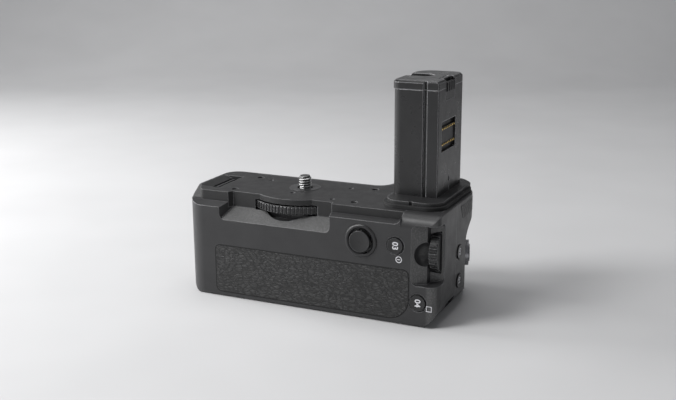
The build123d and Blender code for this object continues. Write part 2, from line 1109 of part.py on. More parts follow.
def deck_screw_spots():
    """Centres of the deck screws."""
    return [
        (-deck_screw_left, -deck_screw_rear),
        (deck_screw_right, -deck_screw_rear),
        (-deck_screw_left, deck_screw_front),
        (deck_screw_right, deck_screw_front),
    ]


def tower_rebate():
    """The hole in the deck for the cable from the tower."""
    middle = tower_left + tower_width / 2
    length = tower_length / 2
    start = -window_rear + (window_width - tower_board_width) / 2 - gap * 2
    return block(
        (middle - tower_cable_width, middle + tower_cable_width),
        (start, start + length),
        (deck_underside - overrun, body_height + overrun),
    )


def end_cover_space(clearance):
    """The opening at the left end, made smaller by a clearance."""
    return block(
        (-left_reach - overrun, -left_reach + end_cover_thickness),
        (-bay_rear + clearance, bay_front - clearance),
        (bay_floor + clearance, bay_top - clearance),
    )


def latch_slot():
    """The slot in the bay's roof that the tray latch's tongue sweeps."""
    start = -left_reach + latch_tongue_depth
    half = latch_tongue_width / 2
    rise = bay_top - gap - latch_centre_z
    sweep = sqrt(latch_tongue_reach**2 + half**2 - rise**2) + latch_room
    return block(
        (start - latch_room, start + latch_tongue_thickness + latch_room),
        (latch_centre_y - half - latch_room, latch_centre_y + sweep),
        (bay_top - gap, latch_centre_z + latch_tongue_reach + latch_room),
    )


def body_form():
    """The whole body with its pockets, steps and rooms, before it is split."""
    outer_cuts = [
        left_step_cut(),
        right_step_cut(),
        rolled_edge_cut(),
        wheel_pocket_cut(),
        wheel_space(),
        rear_dial_pocket(),
        end_recess_cut(),
        skin(rear_skin_window(), skin_proud),
        skin(front_skin_window(), skin_proud),
        skin(end_skin_window(), skin_proud),
        bay_room(),
        end_room(),
        upper_room(),
        base_room(),
        dial_space(rear_dial_x, rear_dial_y, rear_dial_z, rear_dial_radius, rear_dial_thickness),
        dial_space(front_dial_x, front_dial_y, front_dial_z, front_dial_radius, front_dial_thickness),
    ]
    with BuildPart() as form:
        add(envelope())
        for cut in outer_cuts:
            add(cut, mode=Mode.SUBTRACT)
    return form.part


def control_post_spots():
    """Posts of the rear cover that carry the rear control board."""
    between = (stick_x + focus_x) / 2
    leg = bay_end + wall + control_post_radius + gap * 2
    return [(between, stick_z + stick_cap_radius / 2), (leg, control_board_low + control_post_radius)]


def slant_post_spots():
    """Posts of the front cover that carry the bent control board."""
    return [
        custom_spot((custom_low + custom_high) / 2),
        slant_spot(shutter_along, slant_board_low + control_post_radius * 2),
        slant_spot(shutter_along, slant_board_high - control_post_radius),
    ]


def rear_cover_piece(form, deck):
    """Rear moulding: thumb side of the body with its pockets and button holes."""
    rear_half = block((-left_reach * 2, right_reach * 2), (-rear_reach * 2, seam), (0, body_height))
    stick = rear_plane(stick_x, stick_z)
    with BuildPart() as cover:
        add(form)
        add(rear_half, mode=Mode.INTERSECT)
        add(deck, mode=Mode.SUBTRACT)
        add(latch_slot(), mode=Mode.SUBTRACT)
        add(chassis_space(), mode=Mode.SUBTRACT)
        add(rod(stick, -stick_bezel_sink, overrun, stick_bezel_radius), mode=Mode.SUBTRACT)
        add(rod(stick, -wall - gap, overrun, stick_hole_radius), mode=Mode.SUBTRACT)
        add(
            rod(stick, -stick_base_depth, -wall, stick_base_room + stick_base_wall),
            mode=Mode.SUBTRACT,
        )
        add(button_cut(rear_plane(focus_x, focus_z), button_radius), mode=Mode.SUBTRACT)
        add(button_cut(rear_plane(exposure_x, exposure_z), button_radius), mode=Mode.SUBTRACT)
        for x, z in control_post_spots():
            add(rod(rear_plane(x, z), -stick_base_depth, -wall, control_post_radius))
        for x, y in base_screw_spots():
            add(drum(x, y, 0, base_screw_length, base_screw_shank), mode=Mode.SUBTRACT)
        add(rear_dial_shaft_piece(), mode=Mode.SUBTRACT)
    return cover.part


def front_cover_piece(form, deck):
    """Front moulding: finger side with the bulge and the slanted face."""
    front_half = block((-left_reach * 2, right_reach * 2), (seam, bulge_reach * 2), (0, body_height))
    shutter = slant_spot(shutter_along, shutter_z)
    with BuildPart() as cover:
        add(form)
        add(front_half, mode=Mode.INTERSECT)
        add(deck, mode=Mode.SUBTRACT)
        add(latch_slot(), mode=Mode.SUBTRACT)
        add(chassis_space(), mode=Mode.SUBTRACT)
        add(button_cut(custom_spot(custom_low), custom_radius), mode=Mode.SUBTRACT)
        add(button_cut(custom_spot(custom_high), custom_radius), mode=Mode.SUBTRACT)
        add(rod(shutter, -wall - gap, overrun, switch_hub_radius + running_gap), mode=Mode.SUBTRACT)
        add(rod(shutter, -switch_ring_sink, overrun, switch_ring_radius + gap), mode=Mode.SUBTRACT)
        for spot in slant_post_spots():
            add(rod(spot, -slant_board_depth, -wall / 2, control_post_radius))
        for x, y in base_screw_spots():
            add(drum(x, y, 0, base_screw_length, base_screw_shank), mode=Mode.SUBTRACT)
        add(front_dial_shaft_piece(), mode=Mode.SUBTRACT)
    return cover.part


def top_deck_piece(form, deck):
    """Top moulding that the camera sits on."""
    dimples = [
        (-dimple_left, dimple_front),
        (-dimple_middle_x, -dimple_middle_y),
        (dimple_right, -dimple_rear),
        (dimple_right, dimple_front),
    ]
    with BuildPart() as plate:
        add(form)
        add(deck, mode=Mode.INTERSECT)
        add(drum(0, 0, deck_underside - overrun, body_height, escutcheon_bore), mode=Mode.SUBTRACT)
        add(
            drum(0, 0, body_height - escutcheon_thickness, body_height + overrun, escutcheon_radius),
            mode=Mode.SUBTRACT,
        )
        add(store_cut(), mode=Mode.SUBTRACT)
        add(store_ends(), mode=Mode.SUBTRACT)
        add(tower_rebate(), mode=Mode.SUBTRACT)
        for x, y in deck_screw_spots():
            add(drum(x, y, deck_underside, body_height, deck_screw_shank), mode=Mode.SUBTRACT)
            sink = body_height - deck_screw_sink - deck_screw_head
            add(drum(x, y, sink, body_height + overrun, deck_screw_radius), mode=Mode.SUBTRACT)
        for x, y in dimples:
            add(
                drum(x, y, body_height - dimple_depth, body_height + overrun, dimple_radius),
                mode=Mode.SUBTRACT,
            )
    return plate.part


def chassis_space():
    """The slot in both covers that holds the chassis plate."""
    return block(
        (-chassis_left, bay_end + wall / 2),
        (-room_rear - wall / 2, bay_front + wall / 2),
        (chassis_low, chassis_high),
    )


def standoff_spots():
    """Centres of the chassis pillars under the main board."""
    inset = standoff_radius * 2
    return [
        (-board_left + inset, -board_rear + inset),
        (board_right - inset, -board_rear + inset),
        (-board_left + inset, board_front - inset),
        (board_right - inset, board_front - inset),
    ]


def chassis_piece():
    """The plate over the battery bay, with pillars for the main board."""
    plate = chassis_space()
    with BuildPart() as chassis:
        add(plate)
        for x, y in standoff_spots():
            add(drum(x, y, chassis_high, board_height, standoff_radius))
    return chassis.part


def main_board_piece():
    """The main circuit board with a few tall components."""
    top = board_height + board_thickness
    with BuildPart() as board:
        add(block((-board_left, board_right), (-board_rear, board_front), (board_height, top)))
        for share in board_part_shares:
            middle = -board_left + share * (board_left + board_right)
            add(
                block(
                    (middle - board_part_size, middle + board_part_size),
                    (-board_part_size, board_part_size),
                    (top, top + board_part_height),
                )
            )
    return board.part


def base_plate_piece():
    """The metal base plate with the boss round the tripod socket."""
    pad_width = base_left + base_right - pad_border * 2
    pad_depth = base_front + base_rear - pad_border * 2
    centre = ((base_right - base_left) / 2, (base_front - base_rear) / 2)
    with BuildPart() as plate:
        with BuildSketch():
            with Locations(centre):
                RectangleRounded(base_left + base_right, base_front + base_rear, base_corner)
        extrude(amount=base_thickness)
        with BuildSketch():
            Circle(base_boss_radius)
        extrude(amount=base_boss_height)
        with BuildSketch():
            with Locations(centre):
                RectangleRounded(pad_width, pad_depth, base_corner)
            Circle(pad_gap_radius, mode=Mode.SUBTRACT)
        extrude(amount=pad_thickness, mode=Mode.SUBTRACT)
        add(drum(0, 0, 0, base_boss_height, socket_radius), mode=Mode.SUBTRACT)
        add(
            drum(0, 0, base_boss_height - socket_flange, base_boss_height, socket_flange_radius),
            mode=Mode.SUBTRACT,
        )
        for x, y in base_screw_spots():
            add(drum(x, y, 0, base_thickness, base_screw_shank), mode=Mode.SUBTRACT)
            add(drum(x, y, 0, base_screw_sink + base_screw_head, base_screw_radius), mode=Mode.SUBTRACT)
    return plate.part


def base_pad_piece():
    """The rubber pad let into the base plate."""
    with BuildPart() as pad:
        with BuildSketch():
            with Locations(((base_right - base_left) / 2, (base_front - base_rear) / 2)):
                RectangleRounded(
                    base_left + base_right - pad_border * 2,
                    base_front + base_rear - pad_border * 2,
                    base_corner,
                )
            Circle(pad_gap_radius, mode=Mode.SUBTRACT)
        extrude(amount=pad_thickness)
    return pad.part


def tripod_socket_piece():
    """The flanged brass-like bush with the tripod thread's bore."""
    with BuildPart() as socket:
        add(drum(0, 0, 0, base_boss_height, socket_radius))
        add(drum(0, 0, base_boss_height - socket_flange, base_boss_height, socket_flange_radius))
        add(drum(0, 0, 0, socket_depth, screw_radius), mode=Mode.SUBTRACT)
    return socket.part


def base_screws_piece():
    """Four screws that hold the base plate to the covers."""
    with BuildPart() as screws:
        for x, y in base_screw_spots():
            add(drum(x, y, base_screw_sink, base_screw_sink + base_screw_head, base_screw_radius))
            add(drum(x, y, base_screw_sink, base_screw_length, base_screw_shank))
    return screws.part


def deck_screws_piece():
    """Four screws that hold the deck to the dial plate."""
    head_low = body_height - deck_screw_sink - deck_screw_head
    low = wheel_bottom - wheel_room_height - dial_plate_thickness
    with BuildPart() as screws:
        for x, y in deck_screw_spots():
            add(drum(x, y, head_low, head_low + deck_screw_head, deck_screw_radius))
            add(drum(x, y, low, head_low, deck_screw_shank))
    return screws.part


def deck_posts_piece():
    """Four sleeves that keep the deck off the dial plate."""
    with BuildPart() as posts:
        for x, y in deck_screw_spots():
            add(drum(x, y, deck_post_low, deck_underside, deck_post_radius))
            add(drum(x, y, deck_post_low, deck_underside, deck_screw_shank), mode=Mode.SUBTRACT)
    return posts.part


def dial_plate_piece():
    """The metal plate under the thumb wheel that carries its bearing."""
    top = wheel_bottom - wheel_room_height
    low = top - dial_plate_thickness
    border = deck_post_radius - gap
    with BuildPart() as plate:
        add(
            block(
                (-deck_screw_left - border, deck_screw_right + border),
                (-room_rear + gap, deck_screw_front + border),
                (low, top),
            )
        )
        add(drum(0, 0, low, top, bearing_radius), mode=Mode.SUBTRACT)
        for x, y in deck_screw_spots():
            add(drum(x, y, low, top, deck_screw_shank), mode=Mode.SUBTRACT)
    return plate.part


def dial_bearing_piece():
    """The flanged bush that the attachment screw turns in."""
    top = wheel_bottom - wheel_room_height
    low = top - dial_plate_thickness - bearing_flange_thickness
    with BuildPart() as bush:
        add(drum(0, 0, low, top, bearing_radius))
        add(drum(0, 0, low, low + bearing_flange_thickness, bearing_flange_radius))
        add(drum(0, 0, low, top, screw_root_radius + bearing_bore_gap), mode=Mode.SUBTRACT)
    return bush.part


def attachment_screw_piece():
    """The screw: thread on top, collar under the deck, journal in the bush."""
    collar_top = wheel_top + screw_flange_thickness
    bush_low = wheel_bottom - wheel_room_height - dial_plate_thickness - bearing_flange_thickness
    end = bush_low - retainer_thickness - running_gap * 2
    top = body_height + screw_proud
    with BuildPart() as screw:
        with BuildSketch(Plane.XZ):
            with BuildLine():
                Polyline(
                    (0, end),
                    (screw_root_radius, end),
                    (screw_root_radius, wheel_top),
                    (screw_flange_radius, wheel_top),
                    (screw_flange_radius, collar_top),
                    (screw_neck_radius, collar_top),
                    (screw_neck_radius, body_height + screw_neck_rise),
                    (screw_radius, body_height + screw_neck_rise),
                    (screw_radius, top - screw_chamfer),
                    (screw_radius - screw_chamfer, top),
                    (0, top),
                    close=True,
                )
            make_face()
        revolve(axis=Axis.Z)
    return screw.part


def wheel_retainer_piece():
    """The ring on the screw's journal that keeps it in its bush."""
    bush_low = wheel_bottom - wheel_room_height - dial_plate_thickness - bearing_flange_thickness
    top = bush_low - running_gap
    with BuildPart() as ring:
        add(drum(0, 0, top - retainer_thickness, top, retainer_radius))
        add(drum(0, 0, top - retainer_thickness, top, screw_root_radius), mode=Mode.SUBTRACT)
    return ring.part


def knurled_wheel(radius, thickness, count, depth, share, bevel):
    """A wheel about Z with square ribs round its rim and bevelled edges."""
    inner = radius - depth
    rib_width = 2 * pi * inner / count * share
    with BuildPart() as wheel:
        with BuildSketch():
            Circle(inner)
            with PolarLocations(inner, count):
                Rectangle(depth * 2, rib_width)
        extrude(amount=thickness)
        with BuildSketch(Plane.XZ):
            with BuildLine():
                Polyline(
                    (0, 0),
                    (radius - bevel, 0),
                    (radius, bevel),
                    (radius, thickness - bevel),
                    (radius - bevel, thickness),
                    (0, thickness),
                    close=True,
                )
            make_face()
        revolve(axis=Axis.Z, mode=Mode.INTERSECT)
    return wheel.part


def attachment_dial_piece():
    """The knurled thumb wheel with a thin web and a hub on the screw."""
    wheel = knurled_wheel(
        wheel_radius, wheel_thickness, wheel_rib_count, wheel_rib_depth, wheel_rib_share, wheel_bevel
    )
    relief = (wheel_thickness - wheel_web) / 2
    hub_low = wheel_bottom - wheel_room_height + running_gap
    with BuildPart() as dial:
        add(wheel.moved(Location((0, 0, wheel_bottom))))
        for low in (wheel_bottom, wheel_top - relief):
            with BuildSketch(Plane.XY.offset(low)):
                Circle(wheel_radius - wheel_rim)
                Circle(wheel_hub_radius, mode=Mode.SUBTRACT)
            extrude(amount=relief, mode=Mode.SUBTRACT)
        add(drum(0, 0, hub_low, wheel_bottom + relief, wheel_hub_radius))
        add(drum(0, 0, 0, body_height, screw_root_radius), mode=Mode.SUBTRACT)
    return dial.part


def escutcheon_piece():
    """The ring let into the deck round the attachment screw."""
    with BuildPart() as ring:
        with BuildSketch(Plane.XY.offset(body_height - escutcheon_thickness)):
            Circle(escutcheon_radius)
            Circle(escutcheon_bore, mode=Mode.SUBTRACT)
        extrude(amount=escutcheon_thickness + escutcheon_proud)
    return ring.part


def finger_dial(radius, thickness, count, x, y, z):
    """A toothed finger dial about X on its shaft."""
    wheel = knurled_wheel(radius, thickness, count, finger_tooth_depth, finger_tooth_share, finger_bevel)
    plane = end_plane(x - thickness / 2, y, z)
    with BuildPart() as dial:
        add(plane.location * wheel)
        add(rod(plane, -overrun, thickness + overrun, dial_shaft_radius + running_gap), mode=Mode.SUBTRACT)
    return dial.part


def round_button(plane, radius, proud, travel, flange, switch_top):
    """A dished round button with its flange and plunger, about a plane's normal."""
    flange_top = -wall - button_play
    flange_low = flange_top - button_flange_thickness
    tip = -switch_top + travel + button_play
    bowl = (radius**2 + button_dish**2) / (2 * button_dish)
    with BuildPart() as button:
        add(rod(plane, flange_top, proud, radius))
        add(rod(plane, flange_low, flange_top, radius + flange))
        add(rod(plane, tip, flange_low, button_plunger_radius))
        with Locations(plane.offset(proud + bowl - button_dish).location):
            Sphere(bowl, mode=Mode.SUBTRACT)
    return button.part


def stick_plane():
    """The plane of the thumb stick, looking out of the rear face."""
    return rear_plane(stick_x, stick_z)


def stick_bezel_piece():
    """The raised ring round the thumb stick, with a crowned top."""
    middle = (stick_bezel_radius + stick_bezel_bore) / 2
    with BuildPart() as bezel:
        with BuildSketch(Plane.XZ):
            with BuildLine():
                Polyline(
                    (stick_bezel_radius, 0),
                    (stick_bezel_radius, -stick_bezel_sink),
                    (stick_bezel_bore, -stick_bezel_sink),
                    (stick_bezel_bore, 0),
                )
                ThreePointArc((stick_bezel_bore, 0), (middle, stick_bezel_crown), (stick_bezel_radius, 0))
            make_face()
        revolve(axis=Axis.Z)
    return stick_plane().location * bezel.part


def stick_cap_piece():
    """The dished cap of the stick with its skirt and shaft."""
    plane = stick_plane()
    top = stick_cap_proud
    low = stick_cap_proud - stick_cap_height
    bowl = (stick_cap_radius**2 + stick_cap_dish**2) / (2 * stick_cap_dish)
    with BuildPart() as stick:
        add(rod(plane, low, top, stick_cap_radius))
        add(rod(plane, -stick_skirt_depth, low, stick_skirt_radius))
        add(rod(plane, -stick_end_depth, low, stick_shaft_radius))
        with Locations(plane.offset(top + bowl - stick_cap_dish).location):
            Sphere(bowl, mode=Mode.SUBTRACT)
    return stick.part


def stick_ring(outer, inner, pin_start, pin_end, pin_turn):
    """One ring of the stick's gimbal with a pair of pins on its outside."""
    low = -stick_pivot_depth - stick_ring_thickness / 2
    plane = stick_plane()
    with BuildPart() as ring:
        with BuildSketch(plane.offset(low)):
            Circle(outer)
        extrude(amount=stick_ring_thickness)
        add(stick_pins(pin_start, pin_end, pin_turn, stick_pin_radius))
        with BuildSketch(plane.offset(low)):
            Circle(inner)
        extrude(amount=stick_ring_thickness, mode=Mode.SUBTRACT)
    return ring.part


def stick_pins(start, end, turn, radius):
    """Two pins in line through the stick's pivot, along X or along Z."""
    pivot = (stick_x, -rear_reach + stick_pivot_depth, stick_z)
    direction = (cos(radians(turn)), 0, sin(radians(turn)))
    across = (-direction[2], 0, direction[0])
    plane = Plane(origin=pivot, x_dir=across, z_dir=direction)
    with BuildPart() as pins:
        add(rod(plane, start, end, radius))
        add(rod(plane, -end, -start, radius))
    return pins.part


def stick_yoke_piece():
    """The inner gimbal ring that the stick's shaft slides through."""
    bore = stick_shaft_radius + running_gap
    return stick_ring(yoke_radius, bore, yoke_bore_wall, cradle_bore + stick_pin_length, quarter)


def stick_cradle_piece():
    """The outer gimbal ring that carries the yoke."""
    holes = stick_pins(0, cradle_radius + overrun, quarter, stick_pin_radius + stick_pin_gap)
    pin_start = cradle_bore + stick_pin_length / 2
    ring = stick_ring(cradle_radius, cradle_bore, pin_start, stick_base_room + stick_pin_length, 0)
    with BuildPart() as cradle:
        add(ring)
        add(holes, mode=Mode.SUBTRACT)
    return cradle.part


def stick_base_piece():
    """The cup behind the rear face that carries the gimbal."""
    plane = stick_plane()
    holes = stick_pins(0, stick_base_room + overrun, 0, stick_pin_radius + stick_pin_gap)
    with BuildPart() as base:
        add(rod(plane, -stick_base_depth, -wall, stick_base_room + stick_base_wall))
        add(
            rod(plane, -stick_base_depth + stick_base_floor, -wall, stick_base_room),
            mode=Mode.SUBTRACT,
        )
        add(holes, mode=Mode.SUBTRACT)
    return base.part


def focus_button_piece():
    """The upper round button of the rear face."""
    plane = rear_plane(focus_x, focus_z)
    return round_button(plane, button_radius, button_proud, button_travel, button_flange, rear_switch_top)


def exposure_button_piece():
    """The lower round button of the rear face."""
    plane = rear_plane(exposure_x, exposure_z)
    return round_button(plane, button_radius, button_proud, button_travel, button_flange, rear_switch_top)


def custom_button_piece(z):
    """A small round button on the flat shutter end."""
    plane = custom_spot(z)
    return round_button(plane, custom_radius, button_proud, button_travel, button_flange, slant_switch_top)


def shutter_button_piece():
    """The shutter button, which runs in the power switch's ring."""
    plane = slant_spot(shutter_along, shutter_z)
    seat = -wall - switch_flange_thickness - button_play * 2
    tip = -slant_switch_top + shutter_travel + button_play
    bowl = (shutter_radius**2 + button_dish**2) / (2 * button_dish)
    with BuildPart() as button:
        add(rod(plane, seat, shutter_proud, shutter_radius))
        add(rod(plane, seat - button_flange_thickness, seat, shutter_radius + shutter_flange))
        add(rod(plane, tip, seat - button_flange_thickness, button_plunger_radius))
        with Locations(plane.offset(shutter_proud + bowl - button_dish).location):
            Sphere(bowl, mode=Mode.SUBTRACT)
    return button.part


def power_switch_piece():
    """The turning ring round the shutter button, with its finger tab."""
    plane = slant_spot(shutter_along, shutter_z)
    tab_start = (switch_ring_radius + switch_ring_bore) / 2
    tab_end = switch_ring_radius + switch_lever_length
    flange_top = -wall - button_play
    with BuildPart() as ring:
        with BuildSketch(plane.offset(gap)):
            with Locations(((tab_start + tab_end) / 2, 0)):
                RectangleRounded(tab_end - tab_start, switch_lever_width, switch_lever_width / 3)
        extrude(amount=switch_ring_height - gap * 2)
        add(rod(plane, -switch_ring_sink + running_gap, switch_ring_height, switch_ring_radius))
        add(rod(plane, flange_top, -switch_ring_sink + running_gap, switch_hub_radius))
        add(rod(plane, flange_top - switch_flange_thickness, flange_top, switch_hub_radius + button_flange))
        add(rod(plane, -wall * 2, switch_ring_height, switch_ring_bore), mode=Mode.SUBTRACT)
    return ring.part


def switch_block(plane, top):
    """A square push switch whose top lies at a depth below a plane."""
    with BuildPart() as switch:
        with BuildSketch(plane.offset(-top - switch_height)):
            Rectangle(switch_size, switch_size)
        extrude(amount=switch_height)
    return switch.part


def button_switches_piece():
    """The push switches under the five buttons."""
    with BuildPart() as switches:
        add(switch_block(rear_plane(focus_x, focus_z), rear_switch_top))
        add(switch_block(rear_plane(exposure_x, exposure_z), rear_switch_top))
        add(switch_block(custom_spot(custom_low), slant_switch_top))
        add(switch_block(custom_spot(custom_high), slant_switch_top))
        add(switch_block(slant_spot(shutter_along, shutter_z), slant_switch_top))
    return switches.part


def rear_control_board_piece():
    """The board behind the rear buttons: a bar, a narrow leg and a foot."""
    left = stick_x - stick_room + gap
    leg_left = bay_end + wall + gap
    leg_right = leg_left + control_board_leg
    top = deck_split - gap
    bar_low = chassis_high + gap
    with BuildPart() as board:
        with BuildSketch(Plane.XZ.offset(rear_reach - stick_base_depth)):
            with BuildLine():
                Polyline(
                    (left, bar_low),
                    (leg_left, bar_low),
                    (leg_left, control_board_low),
                    (control_board_right, control_board_low),
                    (control_board_right, control_board_foot),
                    (leg_right, control_board_foot),
                    (leg_right, top),
                    (left, top),
                    close=True,
                )
            make_face()
        extrude(amount=-control_board_thickness)
    return board.part


def slant_control_board_piece():
    """The bent board behind the flat shutter end and the slanted finger face."""
    middle = (slant_board_low + slant_board_high) / 2
    bend = slant_board_depth * tan(radians(slant_angle / 2))
    front = right_reach - slant_board_depth
    plane = slant_spot((bend + slant_board_end) / 2, middle)
    with BuildPart() as board:
        with BuildSketch(plane.offset(-slant_board_depth - control_board_thickness)):
            Rectangle(slant_board_end - bend, slant_board_high - slant_board_low)
        extrude(amount=control_board_thickness)
        add(
            block(
                (front - control_board_thickness, front),
                (-end_board_start, slant_start - bend),
                (slant_board_low, slant_board_high),
            )
        )
    return board.part


def tray_length():
    """Length of the tray from the end cover to its inner end."""
    return pack_length * 2 + pack_spacing + tray_end_wall + tray_contact_gap


def battery_tray_piece():
    """The tray: a floor with finger windows, low side walls and ribs."""
    start = -left_reach + end_cover_thickness
    end = -pack_start + tray_length()
    low = bay_floor + gap
    divider = -pack_start + pack_length
    side_top = low + tray_floor + tray_side_height
    rear = -bay_rear + gap
    front = bay_front - gap
    middle = (rear + front) / 2
    with BuildPart() as tray:
        add(block((start, end), (rear, front), (low, side_top)))
        add(
            block(
                (start - overrun, end - tray_end_wall),
                (rear + tray_wall, front - tray_wall),
                (low + tray_floor, side_top),
            ),
            mode=Mode.SUBTRACT,
        )
        add(
            block(
                (divider + tray_contact_gap / 2, divider + pack_spacing - tray_contact_gap / 2),
                (rear + tray_wall, front - tray_wall),
                (low + tray_floor, low + tray_floor + tray_side_height / 2),
            )
        )
        for share in pack_middle_shares:
            window = -pack_start + (pack_length * 2 + pack_spacing) * share
            add(
                block(
                    (window - tray_window_length / 2, window + tray_window_length / 2),
                    (middle - tray_window_width / 2, middle + tray_window_width / 2),
                    (low, low + tray_floor),
                ),
                mode=Mode.SUBTRACT,
            )
    return tray.part


def battery_pack_piece(index):
    """One rechargeable pack lying in the tray."""
    start = -pack_start + index * (pack_length + pack_spacing)
    low = bay_floor + gap + tray_floor + running_gap / 2
    middle = (bay_front - bay_rear) / 2
    with BuildPart() as pack:
        with BuildSketch(Plane.YZ.offset(start)):
            with Locations((middle, low + pack_height / 2)):
                RectangleRounded(pack_width, pack_height, pack_corner)
        extrude(amount=pack_length)
    return pack.part


def tray_end_cover_piece():
    """The cover on the tray's outer end, flush with the body."""
    start = -left_reach + latch_tongue_depth
    half = latch_tongue_width / 2 + latch_room
    reach = latch_tongue_reach + latch_room
    knob = end_plane(-left_reach, latch_centre_y, latch_centre_z)
    tongue_room = block(
        (start - latch_room, 0),
        (latch_centre_y - half, latch_centre_y + reach),
        (latch_centre_z - half, bay_top),
    )
    with BuildPart() as cover:
        add(envelope())
        add(end_cover_space(gap), mode=Mode.INTERSECT)
        add(rod(knob, -overrun, latch_depth, latch_radius + gap), mode=Mode.SUBTRACT)
        add(rod(knob, 0, end_cover_thickness, latch_shaft_radius + running_gap), mode=Mode.SUBTRACT)
        add(tongue_room, mode=Mode.SUBTRACT)
    return cover.part


def tray_latch_piece():
    """The turning knob of the tray with its bar grip, shaft and tongue."""
    knob = end_plane(-left_reach, latch_centre_y, latch_centre_z)
    tongue_start = latch_tongue_depth
    tongue_end = latch_tongue_depth + latch_tongue_thickness
    half = latch_tongue_width / 2
    grip_length = latch_radius * 2 - latch_grip_width
    with BuildPart() as latch:
        add(rod(knob, latch_grip_height, latch_depth - running_gap, latch_radius))
        with BuildSketch(knob.offset(running_gap)):
            with Locations((0, 0)):
                RectangleRounded(grip_length, latch_grip_width, latch_grip_width / 3)
        extrude(amount=latch_grip_height)
        add(rod(knob, latch_grip_height, tongue_end, latch_shaft_radius))
        add(
            block(
                (-left_reach + tongue_start, -left_reach + tongue_end),
                (latch_centre_y - half, latch_centre_y + latch_tongue_reach),
                (latch_centre_z - half, latch_centre_z + half),
            )
        )
    return latch.part


def contact_spots():
    """Centres of the battery contacts across the bay."""
    middle = (bay_front - bay_rear) / 2
    return [middle + contact_pitch * (i - (contact_count - 1) / 2) for i in range(contact_count)]


def contact_carrier_piece():
    """The block at the bay's inner end that holds the spring contacts."""
    middle = (bay_front - bay_rear) / 2
    return block(
        (bay_end - carrier_thickness, bay_end),
        (middle - carrier_width / 2, middle + carrier_width / 2),
        (carrier_low, carrier_low + carrier_height),
    )


def contact_strips(start, end):
    """A row of upright contact strips between two values of X."""
    middle = carrier_low + carrier_height / 2
    with BuildPart() as strips:
        for y in contact_spots():
            add(
                block(
                    (start, end),
                    (y - contact_width / 2, y + contact_width / 2),
                    (middle - contact_height / 2, middle + contact_height / 2),
                )
            )
    return strips.part


def tower_plan(inset):
    """Plan of the tower, softly rounded except where the strip meets the contact face."""
    with BuildSketch() as plan:
        with BuildLine():
            FilletPolyline(
                (tower_left, -tower_rear),
                (tower_right, -tower_rear),
                (tower_right, tower_front),
                (tower_left, tower_front),
                radius=[
                    tower_corner,
                    tower_sharp_corner,
                    tower_front_right_corner,
                    tower_front_left_corner,
                ],
                close=True,
            )
        make_face()
        if inset > 0:
            offset(amount=-inset, kind=Kind.INTERSECTION, mode=Mode.REPLACE)
    return plan.sketch


def tower_block(inset, low, high):
    """The tower's plan raised between two heights."""
    with BuildPart() as solid:
        with BuildSketch():
            add(tower_plan(inset))
        extrude(amount=high)
        add(block((0, right_reach), (-rear_reach, bulge_reach), (0, low)), mode=Mode.SUBTRACT)
    return solid.part


def tower_latch_space(clearance, low, high):
    """The notch in the tower's right face that the latch sits in."""
    return block(
        (tower_right - tower_latch_room, tower_right + overrun),
        (tower_latch_start - clearance, tower_latch_start + tower_latch_width + clearance),
        (low - clearance, high + clearance),
    )


def tower_groove_cut():
    """The upright groove and the slightly sunk strip in the rear face."""
    groove_left = tower_right - tower_groove_from_right
    groove_right = groove_left + tower_groove_width
    with BuildPart() as cut:
        add(
            block(
                (groove_left, groove_right),
                (-tower_rear - overrun, -tower_rear + tower_groove_depth),
                (body_height, tower_top + overrun),
            )
        )
        add(
            block(
                (groove_right, tower_right + overrun),
                (-tower_rear - overrun, -tower_rear + tower_strip_sink),
                (body_height, tower_top + overrun),
            )
        )
    return cut.part


def tower_groove_wall():
    """The thicker wall behind the groove and the sunk strip."""
    return block(
        (tower_right - tower_groove_from_right - tower_wall, tower_right - tower_wall),
        (-tower_rear + tower_wall, -tower_rear + tower_groove_back),
        (body_height, cap_bottom),
    )


def tower_casing_piece():
    """The hollow battery-shaped casing with its window, slit and groove."""
    with BuildPart() as casing:
        add(tower_block(0, body_height, cap_bottom))
        add(tower_block(tower_wall, body_height, cap_bottom), mode=Mode.SUBTRACT)
        add(tower_groove_wall())
        add(tower_groove_cut(), mode=Mode.SUBTRACT)
        add(
            block(
                (tower_right - tower_wall - overrun / 2, tower_right + overrun),
                (-window_rear, -window_rear + window_width),
                (window_low, window_high),
            ),
            mode=Mode.SUBTRACT,
        )
        for low, high, width in (
            (slit_low, slit_high, slit_width),
            (slit_notch_low, slit_notch_high, slit_notch_width),
        ):
            add(
                block(
                    (tower_right - tower_wall - overrun / 2, tower_right + overrun),
                    (slit_y - width / 2, slit_y + width / 2),
                    (low, high),
                ),
                mode=Mode.SUBTRACT,
            )
        add(tower_latch_space(tower_latch_gap, tower_latch_low, tower_top), mode=Mode.SUBTRACT)
    return casing.part


